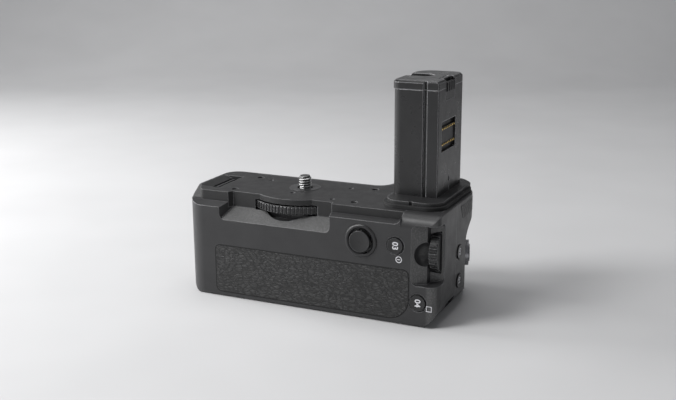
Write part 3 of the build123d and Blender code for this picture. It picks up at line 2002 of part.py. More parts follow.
def tower_cap_piece():
    """The cap of the tower with its finger notch and slot."""
    notch_middle = cap_notch_start + cap_notch_width / 2
    slot_right = tower_right - cap_slot_right
    with BuildPart() as cap:
        add(tower_block(0, cap_bottom, tower_top))
        add(tower_block(tower_wall, cap_bottom - tower_cap_rebate, cap_bottom))
        add(tower_groove_wall(), mode=Mode.SUBTRACT)
        with BuildSketch(Plane.XY.offset(cap_bottom)):
            add(Pos(-tower_cap_lip, 0) * tower_plan(0))
        extrude(amount=tower_cap_height)
        chamfer(cap.faces().sort_by(Axis.Z)[-1].edges(), length=tower_cap_chamfer)
        add(tower_groove_cut(), mode=Mode.SUBTRACT)
        with BuildSketch(Plane.XY.offset(tower_top - cap_notch_depth)):
            with Locations((tower_left - tower_cap_lip + cap_notch_length / 2 - overrun / 2, notch_middle)):
                SlotOverall(cap_notch_length + overrun, cap_notch_width)
        extrude(amount=cap_notch_depth + overrun, mode=Mode.SUBTRACT)
        add(
            block(
                (slot_right - cap_slot_width, slot_right),
                (-tower_rear + cap_slot_rear, -tower_rear + cap_slot_rear + cap_slot_length),
                (tower_top - cap_slot_depth, tower_top + overrun),
            ),
            mode=Mode.SUBTRACT,
        )
        add(tower_latch_space(tower_latch_gap, tower_latch_low, tower_top), mode=Mode.SUBTRACT)
    return cap.part


def tower_latch_piece():
    """The spring latch high on the tower, with four ribs for the thumb."""
    high = min(tower_latch_high, tower_top)
    plate_left = tower_right - tower_latch_thickness
    pitch = tower_latch_width / tower_latch_ribs
    with BuildPart() as latch:
        add(
            block(
                (plate_left, tower_right),
                (tower_latch_start, tower_latch_start + tower_latch_width),
                (tower_latch_low, high),
            )
        )
        for i in range(tower_latch_ribs):
            middle = tower_latch_start + pitch * (i + 1 / 2)
            add(
                block(
                    (tower_right, tower_right + tower_latch_rib_height),
                    (middle - tower_latch_rib_width / 2, middle + tower_latch_rib_width / 2),
                    (tower_latch_rib_low, high),
                )
            )
    return latch.part


def contact_block_piece():
    """The contact block that shows in the tower's window, raised in the middle."""
    back = tower_right - tower_wall
    step_low = (window_low + window_high) / 2 - contact_step_height / 2
    with BuildPart() as contacts:
        add(
            block(
                (back - contact_block_depth, back),
                (-window_rear, -window_rear + window_width + contact_block_border),
                (window_low - contact_block_border, window_high + contact_block_border),
            )
        )
        add(
            block(
                (back, back + contact_block_raise),
                (-window_rear + contact_block_border, -window_rear + window_width * raise_share),
                (step_low, step_low + contact_step_height),
            )
        )
    return contacts.part


def contact_pins_piece():
    """Two rows of small gold pins on the contact block."""
    back = tower_right - tower_wall + contact_block_raise
    with BuildPart() as pins:
        for z in (pin_low, pin_high):
            for i in range(pin_count):
                y = -window_rear + pin_first + i * pin_pitch - pin_pitch / 2
                add(rod(end_plane(back, y, z), 0, pin_proud, pin_radius))
    return pins.part


def tower_board_piece():
    """The board inside the tower that runs from the contacts into the body."""
    right = tower_right - tower_wall - contact_block_depth
    middle = -window_rear + window_width / 2
    return block(
        (right - tower_board_thickness, right),
        (middle - tower_board_width / 2, middle + tower_board_width / 2),
        (tower_board_low, window_high),
    )


def flange_outline(inset):
    """Plan of the seal or flange round the tower's foot."""
    width = seal_right - seal_left - inset * 2
    depth = seal_front + seal_rear - inset * 2
    with BuildSketch() as plan:
        with Locations(((seal_left + seal_right) / 2, (seal_front - seal_rear) / 2)):
            RectangleRounded(width, depth, seal_corner - inset)
    return plan.sketch


def flange_layer(inset, low, high):
    """One flat layer of the flange with the tower's hole in it."""
    with BuildPart() as layer:
        with BuildSketch(Plane.XY.offset(low)):
            add(flange_outline(inset))
            add(tower_plan(0), mode=Mode.SUBTRACT)
        extrude(amount=high - low)
    return layer.part


def flange_seal_piece():
    """The dark seal between deck and flange."""
    with BuildPart() as seal:
        add(flange_layer(0, body_height, body_height + seal_height))
        add(envelope_column(), mode=Mode.INTERSECT)
    return seal.part


def envelope_column():
    """The body's plan raised past the flange, so that nothing overhangs it."""
    with BuildPart() as column:
        with BuildSketch():
            add(body_plan(flange_inset / 2))
        extrude(amount=tower_top)
    return column.part


def flange_plate_piece():
    """The rigid rim plate with its small notch at the rear."""
    low = body_height + seal_height
    with BuildPart() as plate:
        add(flange_layer(flange_inset, low, low + flange_height))
        add(envelope_column(), mode=Mode.INTERSECT)
        add(
            drum(flange_notch_x, -seal_rear + flange_inset, low, low + flange_height, flange_notch_radius),
            mode=Mode.SUBTRACT,
        )
    return plate.part


def rear_dial_piece():
    """The toothed dial in the pocket under the thumb."""
    spot = (rear_dial_x, rear_dial_y, rear_dial_z)
    return finger_dial(rear_dial_radius, rear_dial_thickness, rear_dial_teeth, *spot)


def front_dial_piece():
    """The toothed dial on the bulge, under the first finger."""
    spot = (front_dial_x, front_dial_y, front_dial_z)
    return finger_dial(front_dial_radius, front_dial_thickness, front_dial_teeth, *spot)


def save(piece, name):
    """Label one finished piece and write its file."""
    piece.label = name
    export_step(piece, f"parts/{name}.step")


def main():
    """Make every piece and write it under its own name."""
    os.makedirs("parts", exist_ok=True)
    form = body_form()
    deck = deck_region()
    strips_end = bay_end - carrier_thickness
    tray_end = -pack_start + tray_length()
    pieces = {
        "rear_cover": rear_cover_piece(form, deck),
        "front_cover": front_cover_piece(form, deck),
        "top_deck": top_deck_piece(form, deck),
        "base_plate": base_plate_piece(),
        "base_pad": base_pad_piece(),
        "tripod_socket": tripod_socket_piece(),
        "base_screws": base_screws_piece(),
        "deck_screws": deck_screws_piece(),
        "deck_posts": deck_posts_piece(),
        "chassis_plate": chassis_piece(),
        "main_board": main_board_piece(),
        "dial_plate": dial_plate_piece(),
        "dial_bearing": dial_bearing_piece(),
        "screw_escutcheon": escutcheon_piece(),
        "attachment_screw": attachment_screw_piece(),
        "attachment_dial": attachment_dial_piece(),
        "screw_retainer": wheel_retainer_piece(),
        "rear_grip_skin": skin(rear_skin_window(), skin_proud),
        "front_grip_skin": front_skin(),
        "end_grip_skin": skin(end_skin_window(), skin_proud),
        "stick_bezel": stick_bezel_piece(),
        "stick_base": stick_base_piece(),
        "stick_cradle": stick_cradle_piece(),
        "stick_yoke": stick_yoke_piece(),
        "thumb_stick": stick_cap_piece(),
        "focus_button": focus_button_piece(),
        "exposure_button": exposure_button_piece(),
        "custom_button_low": custom_button_piece(custom_low),
        "custom_button_high": custom_button_piece(custom_high),
        "shutter_button": shutter_button_piece(),
        "power_switch": power_switch_piece(),
        "button_switches": button_switches_piece(),
        "rear_control_board": rear_control_board_piece(),
        "slant_control_board": slant_control_board_piece(),
        "rear_dial": rear_dial_piece(),
        "rear_dial_shaft": rear_dial_shaft_piece(),
        "front_dial": front_dial_piece(),
        "front_dial_shaft": front_dial_shaft_piece(),
        "battery_tray": battery_tray_piece(),
        "battery_pack_outer": battery_pack_piece(0),
        "battery_pack_inner": battery_pack_piece(1),
        "tray_end_cover": tray_end_cover_piece(),
        "tray_latch": tray_latch_piece(),
        "tray_terminals": contact_strips(tray_end, tray_end + terminal_thickness),
        "contact_carrier": contact_carrier_piece(),
        "contact_springs": contact_strips(strips_end - contact_length, strips_end),
        "tower_casing": tower_casing_piece(),
        "tower_cap": tower_cap_piece(),
        "tower_latch": tower_latch_piece(),
        "tower_contact_block": contact_block_piece(),
        "tower_contact_pins": contact_pins_piece(),
        "tower_board": tower_board_piece(),
        "flange_seal": flange_seal_piece(),
        "flange_plate": flange_plate_piece(),
    }
    for name, piece in pieces.items():
        save(piece, name)


main()
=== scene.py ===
"""Looks of the camera battery grip: materials, thread, marks, stage, light and camera."""
import json
from math import cos, pi, radians, sin

import bmesh
import bpy
from mathutils import Matrix, Vector


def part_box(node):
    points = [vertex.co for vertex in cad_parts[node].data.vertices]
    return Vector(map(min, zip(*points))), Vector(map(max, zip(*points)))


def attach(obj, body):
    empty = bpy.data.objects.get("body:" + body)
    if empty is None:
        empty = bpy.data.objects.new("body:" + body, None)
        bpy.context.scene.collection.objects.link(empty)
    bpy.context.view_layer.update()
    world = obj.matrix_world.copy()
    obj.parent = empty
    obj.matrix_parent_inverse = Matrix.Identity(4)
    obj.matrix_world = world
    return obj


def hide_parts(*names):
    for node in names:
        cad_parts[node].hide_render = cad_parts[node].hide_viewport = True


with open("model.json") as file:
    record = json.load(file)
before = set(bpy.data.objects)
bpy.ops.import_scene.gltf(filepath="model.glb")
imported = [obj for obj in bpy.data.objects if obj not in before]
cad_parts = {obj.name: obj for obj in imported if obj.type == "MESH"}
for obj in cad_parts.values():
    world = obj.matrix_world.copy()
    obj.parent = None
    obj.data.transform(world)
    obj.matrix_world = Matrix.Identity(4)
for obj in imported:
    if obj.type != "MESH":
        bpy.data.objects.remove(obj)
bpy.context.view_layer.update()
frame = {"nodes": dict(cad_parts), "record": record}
nodes = frame["nodes"]
MM = 0.001

# Painted edge highlights and painted sheen highlights on the mouldings, lengths in millimetres
BEVEL_SAMPLES = 4
SHARP_EDGE = (0.99, 0.8)
PAINTED_SHEEN_RANGE = (0.86, 0.98)
PAINTED_SHEEN_FLECK = 0.55
PAINTED_SHEEN_FLECK_GAIN = 1.9
RAMP_FACING, RAMP_SIDE = (-0.15, -0.74, 0.65), (34, 36)
POCKET_FACING, POCKET_SIDE = (0.53, -0.85, 0.0), (66, 64)


def material(name):
    """A new node material with its principled shader and object coordinates."""
    mat = bpy.data.materials.new(name)
    mat.use_nodes = True
    tree = mat.node_tree
    shader = tree.nodes["Principled BSDF"]
    coords = tree.nodes.new("ShaderNodeTexCoord")
    return mat, tree, shader, coords.outputs["Object"]


def noise(tree, vector, cell, detail=3.0, rough=0.55):
    """Noise whose features are about one cell wide, in millimetres."""
    tex = tree.nodes.new("ShaderNodeTexNoise")
    tex.inputs["Scale"].default_value = 1 / (cell * MM)
    tex.inputs["Detail"].default_value = detail
    tex.inputs["Roughness"].default_value = rough
    tree.links.new(vector, tex.inputs["Vector"])
    return tex.outputs["Fac"]


def ramp(tree, value, stops):
    """A colour ramp over a value, with (position, colour) stops."""
    node = tree.nodes.new("ShaderNodeValToRGB")
    band = node.color_ramp
    while len(band.elements) < len(stops):
        band.elements.new(0.5)
    for element, (place, colour) in zip(band.elements, stops):
        element.position = place
        element.color = (*colour, 1) if len(colour) == 3 else (colour[0],) * 3 + (1,)
    tree.links.new(value, node.inputs["Fac"])
    return node.outputs["Color"]


def bump(tree, height, depth, strength, normal=None):
    """A bump of a depth in millimetres."""
    node = tree.nodes.new("ShaderNodeBump")
    node.inputs["Distance"].default_value = depth * MM
    node.inputs["Strength"].default_value = strength
    tree.links.new(height, node.inputs["Height"])
    if normal is not None:
        tree.links.new(normal, node.inputs["Normal"])
    return node.outputs["Normal"]


def soft_edges(tree, radius):
    """A normal that rounds the edges by a radius in millimetres."""
    node = tree.nodes.new("ShaderNodeBevel")
    node.samples = BEVEL_SAMPLES
    node.inputs["Radius"].default_value = radius * MM
    return node.outputs["Normal"]


def painted_edge_tone(tree, colour, painted_tone, radius):
    """Colour blended towards another tone where the surface turns at an edge: a painted highlight
    where that tone is lighter, painted shade where it is darker.
    """
    bevel = tree.nodes.new("ShaderNodeBevel")
    bevel.samples = BEVEL_SAMPLES
    bevel.inputs["Radius"].default_value = radius * MM
    geometry = tree.nodes.new("ShaderNodeNewGeometry")
    dot = tree.nodes.new("ShaderNodeVectorMath")
    dot.operation = "DOT_PRODUCT"
    tree.links.new(bevel.outputs["Normal"], dot.inputs[0])
    tree.links.new(geometry.outputs["Normal"], dot.inputs[1])
    spread = tree.nodes.new("ShaderNodeMapRange")
    spread.inputs["From Min"].default_value = SHARP_EDGE[0]
    spread.inputs["From Max"].default_value = SHARP_EDGE[1]
    tree.links.new(dot.outputs["Value"], spread.inputs["Value"])
    mix = tree.nodes.new("ShaderNodeMix")
    mix.data_type = "RGBA"
    tree.links.new(spread.outputs["Result"], mix.inputs["Factor"])
    tree.links.new(colour, mix.inputs["A"])
    mix.inputs["B"].default_value = (*painted_tone, 1)
    return mix.outputs["Result"]


def painted_slope_highlight(tree, coords, colour, painted_tone, facing, side_range):
    """Painted highlight: lighter, flecked colour where the surface faces a direction, on one side
    of an X position.
    """
    lit, plain = side_range
    geometry = tree.nodes.new("ShaderNodeNewGeometry")
    dot = tree.nodes.new("ShaderNodeVectorMath")
    dot.operation = "DOT_PRODUCT"
    dot.inputs[1].default_value = facing
    tree.links.new(geometry.outputs["Normal"], dot.inputs[0])
    spread = tree.nodes.new("ShaderNodeMapRange")
    spread.inputs["From Min"].default_value = PAINTED_SHEEN_RANGE[0]
    spread.inputs["From Max"].default_value = PAINTED_SHEEN_RANGE[1]
    tree.links.new(dot.outputs["Value"], spread.inputs["Value"])
    split = tree.nodes.new("ShaderNodeSeparateXYZ")
    tree.links.new(coords, split.inputs["Vector"])
    side = tree.nodes.new("ShaderNodeMapRange")
    side.inputs["From Min"].default_value = plain * MM
    side.inputs["From Max"].default_value = lit * MM
    tree.links.new(split.outputs["X"], side.inputs["Value"])
    amount = tree.nodes.new("ShaderNodeMath")
    amount.operation = "MULTIPLY"
    tree.links.new(spread.outputs["Result"], amount.inputs[0])
    tree.links.new(side.outputs["Result"], amount.inputs[1])
    speckle = noise(tree, coords, PAINTED_SHEEN_FLECK, 2.0)
    highlight_flecks = ramp(tree, speckle, ((0.45, (painted_tone,)), (0.72, (painted_tone * PAINTED_SHEEN_FLECK_GAIN,))))
    mix = tree.nodes.new("ShaderNodeMix")
    mix.data_type = "RGBA"
    tree.links.new(amount.outputs["Value"], mix.inputs["Factor"])
    tree.links.new(colour, mix.inputs["A"])
    tree.links.new(highlight_flecks, mix.inputs["B"])
    return mix.outputs["Result"]


def moulded(
    name, low, high, rough, grain=0.32, depth=0.03, edge=0.35, painted_edge_highlight=None, painted_sheen=None, metallic=0.0,
):
    """Painted or moulded surface: fine grain, faint cloudy tone, soft edges, painted highlights
    along edges and painted sheen highlights on facets that face set directions.
    """
    mat, tree, shader, coords = material(name)
    fine = noise(tree, coords, grain, 2.0)
    cloudy = noise(tree, coords, 14.0, 4.0, 0.6)
    dark, light = (low, low, low * 1.04), (high, high, high * 1.04)
    colour = ramp(tree, cloudy, ((0.3, dark), (0.7, light)))
    # painted highlight on facets that face the wheel ramp and dial pocket directions
    if painted_sheen:
        colour = painted_slope_highlight(tree, coords, colour, painted_sheen, RAMP_FACING, RAMP_SIDE)
        colour = painted_slope_highlight(tree, coords, colour, painted_sheen, POCKET_FACING, POCKET_SIDE)
    # painted highlight along edges
    if painted_edge_highlight:
        colour = painted_edge_tone(tree, colour, (painted_edge_highlight, painted_edge_highlight, painted_edge_highlight * 1.03), edge)
    tree.links.new(colour, shader.inputs["Base Color"])
    spots = noise(tree, coords, 6.0, 3.0)
    gloss = ramp(tree, spots, ((0.3, (rough - 0.05,)), (0.7, (rough + 0.06,))))
    tree.links.new(gloss, shader.inputs["Roughness"])
    shader.inputs["Metallic"].default_value = metallic
    tree.links.new(bump(tree, fine, depth, 0.6, soft_edges(tree, edge)), shader.inputs["Normal"])
    return mat


def leather(name, dark, light, rim_shade, cell=1.3, depth=0.20, wide=(0.45, 0.45, 1.0)):
    """Grip rubber with a leather-like grain of creased cells, painted shade in the creases and
    painted shade along its rim.
    """
    mat, tree, shader, coords = material(name)
    stretch = tree.nodes.new("ShaderNodeMapping")
    stretch.inputs["Scale"].default_value = wide
    tree.links.new(coords, stretch.inputs["Vector"])
    warp = tree.nodes.new("ShaderNodeTexNoise")
    warp.inputs["Scale"].default_value = 1 / (cell * 1.6 * MM)
    warp.inputs["Detail"].default_value = 2
    tree.links.new(stretch.outputs["Vector"], warp.inputs["Vector"])
    shift = tree.nodes.new("ShaderNodeVectorMath")
    shift.operation = "MULTIPLY_ADD"
    shift.inputs[1].default_value = (cell * 1.4 * MM,) * 3
    tree.links.new(warp.outputs["Color"], shift.inputs[0])
    tree.links.new(stretch.outputs["Vector"], shift.inputs[2])
    cells = tree.nodes.new("ShaderNodeTexVoronoi")
    cells.feature = "DISTANCE_TO_EDGE"
    cells.inputs["Scale"].default_value = 1 / (cell * MM)
    tree.links.new(shift.outputs["Vector"], cells.inputs["Vector"])
    hollows = ((0.0, (0.0,)), (0.16, (0.55,)), (0.45, (1.0,)))
    relief = ramp(tree, cells.outputs["Distance"], hollows)
    fine = noise(tree, coords, 0.35, 3.0)
    # painted shade: the creases between the cells are darker than the cells
    colour = ramp(tree, cells.outputs["Distance"], ((0.0, (dark,) * 3), (0.40, (light,) * 3)))
    # painted shade along the edges of the grip skin
    colour = painted_edge_tone(tree, colour, (rim_shade,) * 3, 0.45)
    tree.links.new(colour, shader.inputs["Base Color"])
    shader.inputs["Roughness"].default_value = 0.44
    low = bump(tree, fine, 0.05, 0.5)
    tree.links.new(bump(tree, relief, depth, 0.9, low), shader.inputs["Normal"])
    return mat


def metal(name, low, high, rough, warm=(1.0, 1.0, 1.0), turned=False):
    """Bare metal with fine turning or brushing marks."""
    mat, tree, shader, coords = material(name)
    stretch = tree.nodes.new("ShaderNodeMapping")
    stretch.inputs["Scale"].default_value = (0.15, 0.15, 1.0) if turned else (1.0, 0.15, 1.0)
    tree.links.new(coords, stretch.inputs["Vector"])
    marks = noise(tree, stretch.outputs["Vector"], 0.12, 2.0)
    tone = ramp(
        tree, marks,
        ((0.3, tuple(low * c for c in warm)), (0.7, tuple(high * c for c in warm))),
    )
    tree.links.new(tone, shader.inputs["Base Color"])
    shader.inputs["Metallic"].default_value = 1.0
    gloss = ramp(tree, marks, ((0.2, (rough - 0.04,)), (0.8, (rough + 0.05,))))
    tree.links.new(gloss, shader.inputs["Roughness"])
    tree.links.new(bump(tree, marks, 0.01, 0.4, soft_edges(tree, 0.12)), shader.inputs["Normal"])
    return mat


def thread_steel(name, crest, root, inner, outer):
    """Steel with painted shade: darker towards the root of a thread between two radii."""
    mat, tree, shader, coords = material(name)
    flat = tree.nodes.new("ShaderNodeVectorMath")
    flat.operation = "MULTIPLY"
    flat.inputs[1].default_value = (1, 1, 0)
    tree.links.new(coords, flat.inputs[0])
    radius = tree.nodes.new("ShaderNodeVectorMath")
    radius.operation = "LENGTH"
    tree.links.new(flat.outputs["Vector"], radius.inputs[0])
    spread = tree.nodes.new("ShaderNodeMapRange")
    spread.inputs["From Min"].default_value = inner * MM
    spread.inputs["From Max"].default_value = outer * MM
    tree.links.new(radius.outputs["Value"], spread.inputs["Value"])
    # painted shade in the thread roots
    tone = ramp(tree, spread.outputs["Result"], ((0.0, (root,) * 3), (1.0, (crest,) * 3)))
    tree.links.new(tone, shader.inputs["Base Color"])
    shader.inputs["Metallic"].default_value = 1.0
    fine = noise(tree, coords, 0.3, 2.0)
    tree.links.new(ramp(tree, fine, ((0.2, (0.30,)), (0.8, (0.40,)))), shader.inputs["Roughness"])
    tree.links.new(bump(tree, fine, 0.01, 0.4), shader.inputs["Normal"])
    return mat


# Edge colours paint highlights along edges, the cover's sheen colour paints a highlight on two
# facets, the leather's rim colour paints shade along its edge, and the screw's root colour paints
# shade in its thread.
looks = {
    "moulded_cover": moulded(
        "cover_paint", 0.024, 0.031, 0.37, depth=0.04, edge=0.5, painted_edge_highlight=0.24, painted_sheen=0.075,
    ),
    "deck_cover": moulded("deck_paint", 0.013, 0.018, 0.50, edge=0.5, painted_edge_highlight=0.20),
    "soft_rubber": moulded("seal_rubber", 0.010, 0.014, 0.72, grain=0.5),
    "steel_socket": metal("socket_steel", 0.5, 0.6, 0.32, turned=True),
    "dark_screws": metal("screw_black", 0.10, 0.15, 0.36, turned=True),
    "chassis_metal": metal("chassis_alloy", 0.5, 0.58, 0.4),
    "board_laminate": moulded("board_green", 0.03, 0.045, 0.45, grain=1.2),
    "bearing_brass": metal("bush_brass", 0.62, 0.72, 0.3, warm=(1.0, 0.78, 0.42), turned=True),
    "ring_plastic": moulded("ring_black", 0.020, 0.027, 0.34, grain=0.25, edge=0.25, painted_edge_highlight=0.10),
    "grain_rubber": leather("grip_leather", 0.009, 0.044, 0.004),
    "switch_black": moulded("inner_black", 0.014, 0.019, 0.6, grain=0.5),
    "shaft_steel": metal("shaft_steel", 0.55, 0.65, 0.28),
    "gold_contact": metal("contact_gold", 0.85, 0.95, 0.22, warm=(1.0, 0.72, 0.28)),
    "tower_plastic": moulded(
        "tower_black", 0.014, 0.019, 0.30, grain=0.28, depth=0.02, edge=0.6, painted_edge_highlight=0.5,
    ),
    "contact_plastic": moulded("contact_black", 0.011, 0.015, 0.42, grain=0.4),
    "screw_steel": thread_steel("screw_steel", 0.62, 0.16, 2.66, 3.05),
    "dial_rubber": moulded("wheel_black", 0.014, 0.020, 0.34, grain=0.25, edge=0.2, painted_edge_highlight=0.34),
    "stick_rubber": moulded(
        "stick_rubber", 0.012, 0.017, 0.42, grain=0.4, depth=0.05, edge=0.6, painted_edge_highlight=0.10,
    ),
    "button_plastic": moulded("button_black", 0.015, 0.021, 0.34, grain=0.3, edge=0.25, painted_edge_highlight=0.09),
    "button_metal": moulded("button_alloy", 0.05, 0.07, 0.34, grain=0.2, edge=0.2, metallic=0.6),
    "switch_metal": moulded("switch_alloy", 0.36, 0.44, 0.28, grain=0.25, edge=0.25, metallic=0.8),
    "finger_dial_plastic": moulded(
        "dial_black", 0.014, 0.020, 0.34, grain=0.3, edge=0.22, painted_edge_highlight=0.30,
    ),
    "pack_plastic": moulded("pack_grey", 0.04, 0.05, 0.5, grain=0.35),
}
for entry in frame["record"]["subparts"]:
    node = nodes[entry["node"]]
    for slot in node.material_slots:
        slot.material = looks[entry["material_slot"]]

marks_white = moulded("mark_white", 0.72, 0.8, 0.5, grain=0.3, depth=0.005, edge=0.05)


def new_object(name, mesh, mat, body):
    """A finished piece that rides on a body."""
    obj = bpy.data.objects.new(name, mesh)
    bpy.context.scene.collection.objects.link(obj)
    obj.data.materials.append(mat)
    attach(obj, body)
    return obj


def turned_screw():
    """The attachment screw with its rolled thread, turned from stacked rings."""
    low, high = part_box("attachment_screw")
    bottom, top = low.z, high.z
    thread_low, thread_high = top - 5.8 * MM, top - 0.35 * MM
    pitch, outer, root = 1.27 * MM, 3.17 * MM, 2.55 * MM
    shank, neck, collar, tip = 2.6 * MM, 2.75 * MM, 5.0 * MM, 2.35 * MM
    collar_low, collar_high = 49.6 * MM, 50.4 * MM
    profile = [
        (bottom, shank), (collar_low, shank), (collar_low, collar), (collar_high, collar),
        (collar_high, neck), (thread_low, neck),
    ]
    around, rows = 72, 66
    run_in, run_out = 6, 8
    bm = bmesh.new()
    rings = []

    def ring(place):
        rings.append([bm.verts.new(place(2 * pi * k / around)) for k in range(around)])

    for z, radius in profile:
        ring(lambda t, z=z, radius=radius: (radius * cos(t), radius * sin(t), z))
    for j in range(rows + 1):
        z = thread_low + (thread_high - thread_low) * j / rows
        ends = min(1.0, j / run_in, (rows - j) / run_out)

        def place(t, z=z, ends=ends):
            phase = ((z - thread_low) / pitch - t / (2 * pi)) % 1
            crest = max(0.0, min(1.0, 1.3 - abs(phase - 0.5) * 3.2))
            radius = root + (outer - root) * crest * ends
            return (radius * cos(t), radius * sin(t), z)

        ring(place)
    ring(lambda t: (tip * cos(t), tip * sin(t), top))
    for lower, upper in zip(rings, rings[1:]):
        for k in range(around):
            n = (k + 1) % around
            bm.faces.new((lower[k], lower[n], upper[n], upper[k]))
    bm.faces.new(list(reversed(rings[0])))
    bm.faces.new(rings[-1])
    mesh = bpy.data.meshes.new("threaded_screw")
    bm.to_mesh(mesh)
    bm.free()
    for polygon in mesh.polygons:
        polygon.use_smooth = len(polygon.vertices) == 4
    screw = new_object("threaded_screw", mesh, looks["screw_steel"], "screw_dial")
    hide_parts("attachment_screw")


turned_screw()


def contact_domes():
    """Rounded gold tips on the two rows of contact pins."""
    pin_x, pin_pitch, pin_rows, pin_count = 71.35, 2.4, (80.2, 87.6), 8
    radius, flat = 0.5 * MM, Matrix.Diagonal((0.6, 1, 1, 1))
    bm = bmesh.new()
    for z in pin_rows:
        for step in range(pin_count):
            place = Matrix.Translation(Vector((pin_x, pin_pitch * step, z)) * MM) @ flat
            bmesh.ops.create_uvsphere(
                bm, u_segments=12, v_segments=8, radius=radius, matrix=place,
            )
    mesh = bpy.data.meshes.new("contact_domes")
    bm.to_mesh(mesh)
    bm.free()
    for polygon in mesh.polygons:
        polygon.use_smooth = True
    new_object("contact_domes", mesh, looks["gold_contact"], "housing")


contact_domes()


def flat_shape(name, outline, holes, origin, right, up, thickness, mat, body):
    """A thin raised mark, drawn in a plane given by its right and up directions."""
    curve = bpy.data.curves.new(name, "CURVE")
    curve.dimensions = "2D"
    curve.fill_mode = "BOTH"
    curve.extrude = thickness * MM / 2
    for points in [outline, *holes]:
        spline = curve.splines.new("POLY")
        spline.points.add(len(points) - 1)
        for point, (u, v) in zip(spline.points, points):
            point.co = (u * MM, v * MM, 0, 1)
        spline.use_cyclic_u = True
    obj = bpy.data.objects.new(name, curve)
    bpy.context.scene.collection.objects.link(obj)
    right, up = Vector(right).normalized(), Vector(up).normalized()
    out = right.cross(up)
    place = Matrix((right, up, out)).transposed().to_4x4()
    place.translation = Vector(origin) * MM
    obj.matrix_world = place
    curve.materials.append(mat)
    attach(obj, body)


def circle(radius, count=40):
    """Points of a circle."""
    turns = [2 * pi * k / count for k in range(count)]
    return [(radius * cos(turn), radius * sin(turn)) for turn in turns]


def box_points(width, height):
    """Points of a rectangle about its middle."""
    u, v = width / 2, height / 2
    return [(-u, -v), (u, -v), (u, v), (-u, v)]


def round_box(left, right, low, high, radii):
    """Points of a rectangle with rounded corners, from the low left one on."""
    corners = [(left, low, 180), (right, low, 270), (right, high, 0), (left, high, 90)]
    points = []
    for (u, v, start), radius in zip(corners, radii):
        middle_u = u + radius if u == left else u - radius
        middle_v = v + radius if v == low else v - radius
        for step in range(9):
            turn = radians(start + 90 * step / 8)
            points.append((middle_u + radius * cos(turn), middle_v + radius * sin(turn)))
    return points


def number(name, text, size, origin, right, up, body):
    """A plain printed number."""
    curve = bpy.data.curves.new(name, "FONT")
    curve.body = text
    curve.size = size * MM
    curve.align_x = "CENTER"
    curve.align_y = "CENTER"
    curve.extrude = 0.01 * MM
    curve.offset = 0.07 * MM
    obj = bpy.data.objects.new(name, curve)
    bpy.context.scene.collection.objects.link(obj)
    right, up = Vector(right).normalized(), Vector(up).normalized()
    place = Matrix((right, up, right.cross(up))).transposed().to_4x4()
    place.translation = Vector(origin) * MM
    obj.matrix_world = place
    curve.materials.append(marks_white)
    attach(obj, body)


def rear_face(name):
    """Y of a button's face that points to the rear, in millimetres."""
    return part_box(name)[0].y / MM


def end_face(name):
    """X of a button's face that points out of the end, in millimetres."""
    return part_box(name)[1].x / MM


REAR_RIGHT, REAR_UP, DOWN, INWARD = (1, 0, 0), (0, 0, 1), (0, 0, -1), (0, 1, 0)
REAR_Y = -28.41
MARK_THICKNESS = 0.03
DISH = 0.14
REAR_SIZE, END_SIZE = 3.9, 3.7


def rear_shape(name, outline, holes, x, z, mat=marks_white):
    """A flat shape on the rear face of the housing."""
    origin = (x, REAR_Y, z)
    flat_shape(
        name, outline, holes, origin, REAR_RIGHT, REAR_UP, MARK_THICKNESS, mat, "housing",
    )


rear_shape("focus_mark", circle(1.55), [circle(1.2)], 61.4, 31.6)
rear_shape("focus_mark_cross", box_points(1.5, 0.34), [], 61.4, 31.6)
rear_shape("exposure_mark", box_points(2.7, 2.7), [box_points(2.1, 2.1)], 76.3, 9.8)
# A near-black outline drawn round the grip skin on the rear face: painted shade of the groove
# around the skin.
groove_shade_line = moulded("groove_shade_line", 0.002, 0.004, 0.7, depth=0.01, edge=0.05)
rear_shape(
    "rear_groove_shade_line", round_box(-36.35, 66.65, 2.45, 27.25, (3.1, 10.5, 3.1, 3.1)),
    [round_box(-35.85, 66.15, 2.95, 26.75, (2.6, 10.0, 2.6, 2.6))], 0, 0, groove_shade_line,
)
for name, text, button, x, z, body in (
    ("focus_number", "03", "focus_button", 59.6, 38.0, "focus_key"),
    ("exposure_number", "04", "exposure_button", 70.8, 12.0, "exposure_key"),
):
    origin = (x, rear_face(button) + DISH, z)
    number(name, text, REAR_SIZE, origin, DOWN, REAR_RIGHT, body)
for name, text, button, z, body in (
    ("custom_number_low", "01", "custom_button_low", 14.1, "custom_key_low"),
    ("custom_number_high", "02", "custom_button_high", 28.6, "custom_key_high"),
):
    origin = (end_face(button) - DISH, 3.0, z)
    number(name, text, END_SIZE, origin, DOWN, INWARD, body)


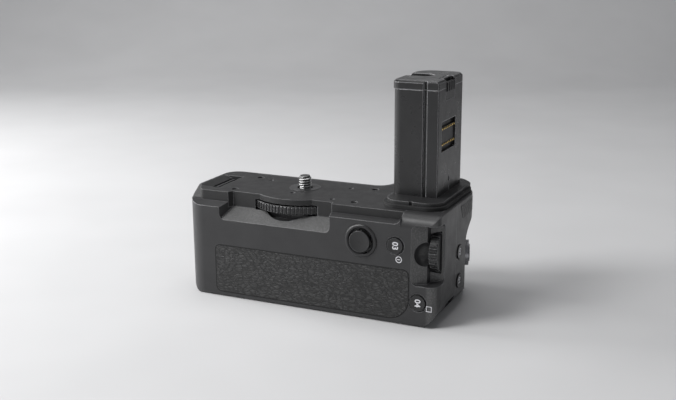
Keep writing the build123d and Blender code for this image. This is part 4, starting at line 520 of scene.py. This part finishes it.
def stage():
    """A pale floor that curves up behind the object."""
    bm = bmesh.new()
    near_end, bend_start, bend, wall_top, half_width = -1.4, 0.7, 0.5, 1.9, 2.2
    path = [(near_end, 0.0), (bend_start, 0.0)]
    turns = [radians(angle) for angle in range(10, 91, 10)]
    path += [(bend_start + bend * sin(turn), bend - bend * cos(turn)) for turn in turns]
    path.append((bend_start + bend, wall_top))
    across = Vector((0.9081, 0.4188, 0)).normalized()
    away = Vector((-across.y, across.x, 0))
    rows = []
    for distance, height in path:
        middle = away * distance
        rows.append([
            bm.verts.new(middle + across * side * half_width + Vector((0, 0, height)))
            for side in (-1, 1)
        ])
    for near, far in zip(rows, rows[1:]):
        bm.faces.new((near[0], near[1], far[1], far[0]))
    mesh = bpy.data.meshes.new("floor")
    bm.to_mesh(mesh)
    bm.free()
    for polygon in mesh.polygons:
        polygon.use_smooth = True
    floor = bpy.data.objects.new("floor", mesh)
    bpy.context.scene.collection.objects.link(floor)
    mat, tree, shader, coords = material("floor_pale")
    cloud = noise(tree, coords, 90.0, 2.0)
    tone = ramp(tree, cloud, ((0.3, (0.56, 0.56, 0.565)), (0.7, (0.59, 0.59, 0.595))))
    tree.links.new(tone, shader.inputs["Base Color"])
    shader.inputs["Roughness"].default_value = 0.7
    floor.data.materials.append(mat)


def lamp(name, place, target, size, power):
    """A soft square lamp that faces a target."""
    light = bpy.data.lights.new(name, "AREA")
    light.shape = "SQUARE"
    light.size = size
    light.energy = power
    obj = bpy.data.objects.new(name, light)
    bpy.context.scene.collection.objects.link(obj)
    obj.location = place
    obj.rotation_euler = (Vector(target) - Vector(place)).to_track_quat("-Z", "Y").to_euler()


stage()
lamp("key", (-0.75, -0.62, 0.60), (0, 0, 0.04), 0.45, 7.0)
lamp("high", (-0.42, -0.45, 0.85), (0, 0, 0.04), 0.3, 4.5)
lamp("top", (-0.05, 0.25, 1.1), (0, 0, 0.03), 0.7, 3.5)
lamp("left", (-0.70, -0.05, 0.30), (0.03, 0, 0.06), 0.3, 4.0)
lamp("side", (0.95, -0.45, 0.55), (0.03, 0, 0.04), 0.4, 0.8)

world = bpy.data.worlds.new("studio")
bpy.context.scene.world = world
world.use_nodes = True
world.node_tree.nodes["Background"].inputs["Color"].default_value = (0.92, 0.94, 1.0, 1)
world.node_tree.nodes["Background"].inputs["Strength"].default_value = 0.13

FOCAL_LENGTH, SENSOR_WIDTH = 53.74, 36.0
CAMERA_PLACE = (0.2203, -0.4368, 0.1753)
CAMERA_FORWARD = (-0.4064, 0.8774, -0.2551)
CAMERA_RIGHT = (0.9081, 0.4188, -0.0062)
camera_data = bpy.data.cameras.new("camera")
camera_data.lens = FOCAL_LENGTH
camera_data.sensor_width = SENSOR_WIDTH
camera_data.clip_start = 0.01
camera = bpy.data.objects.new("camera", camera_data)
bpy.context.scene.collection.objects.link(camera)
forward = Vector(CAMERA_FORWARD).normalized()
across = Vector(CAMERA_RIGHT).normalized()
upward = across.cross(forward).normalized()
across = forward.cross(upward)
turn = Matrix((across, upward, -forward)).transposed().to_4x4()
turn.translation = Vector(CAMERA_PLACE)
camera.matrix_world = turn
bpy.context.scene.camera = camera
bpy.context.scene.view_settings.view_transform = "Standard"
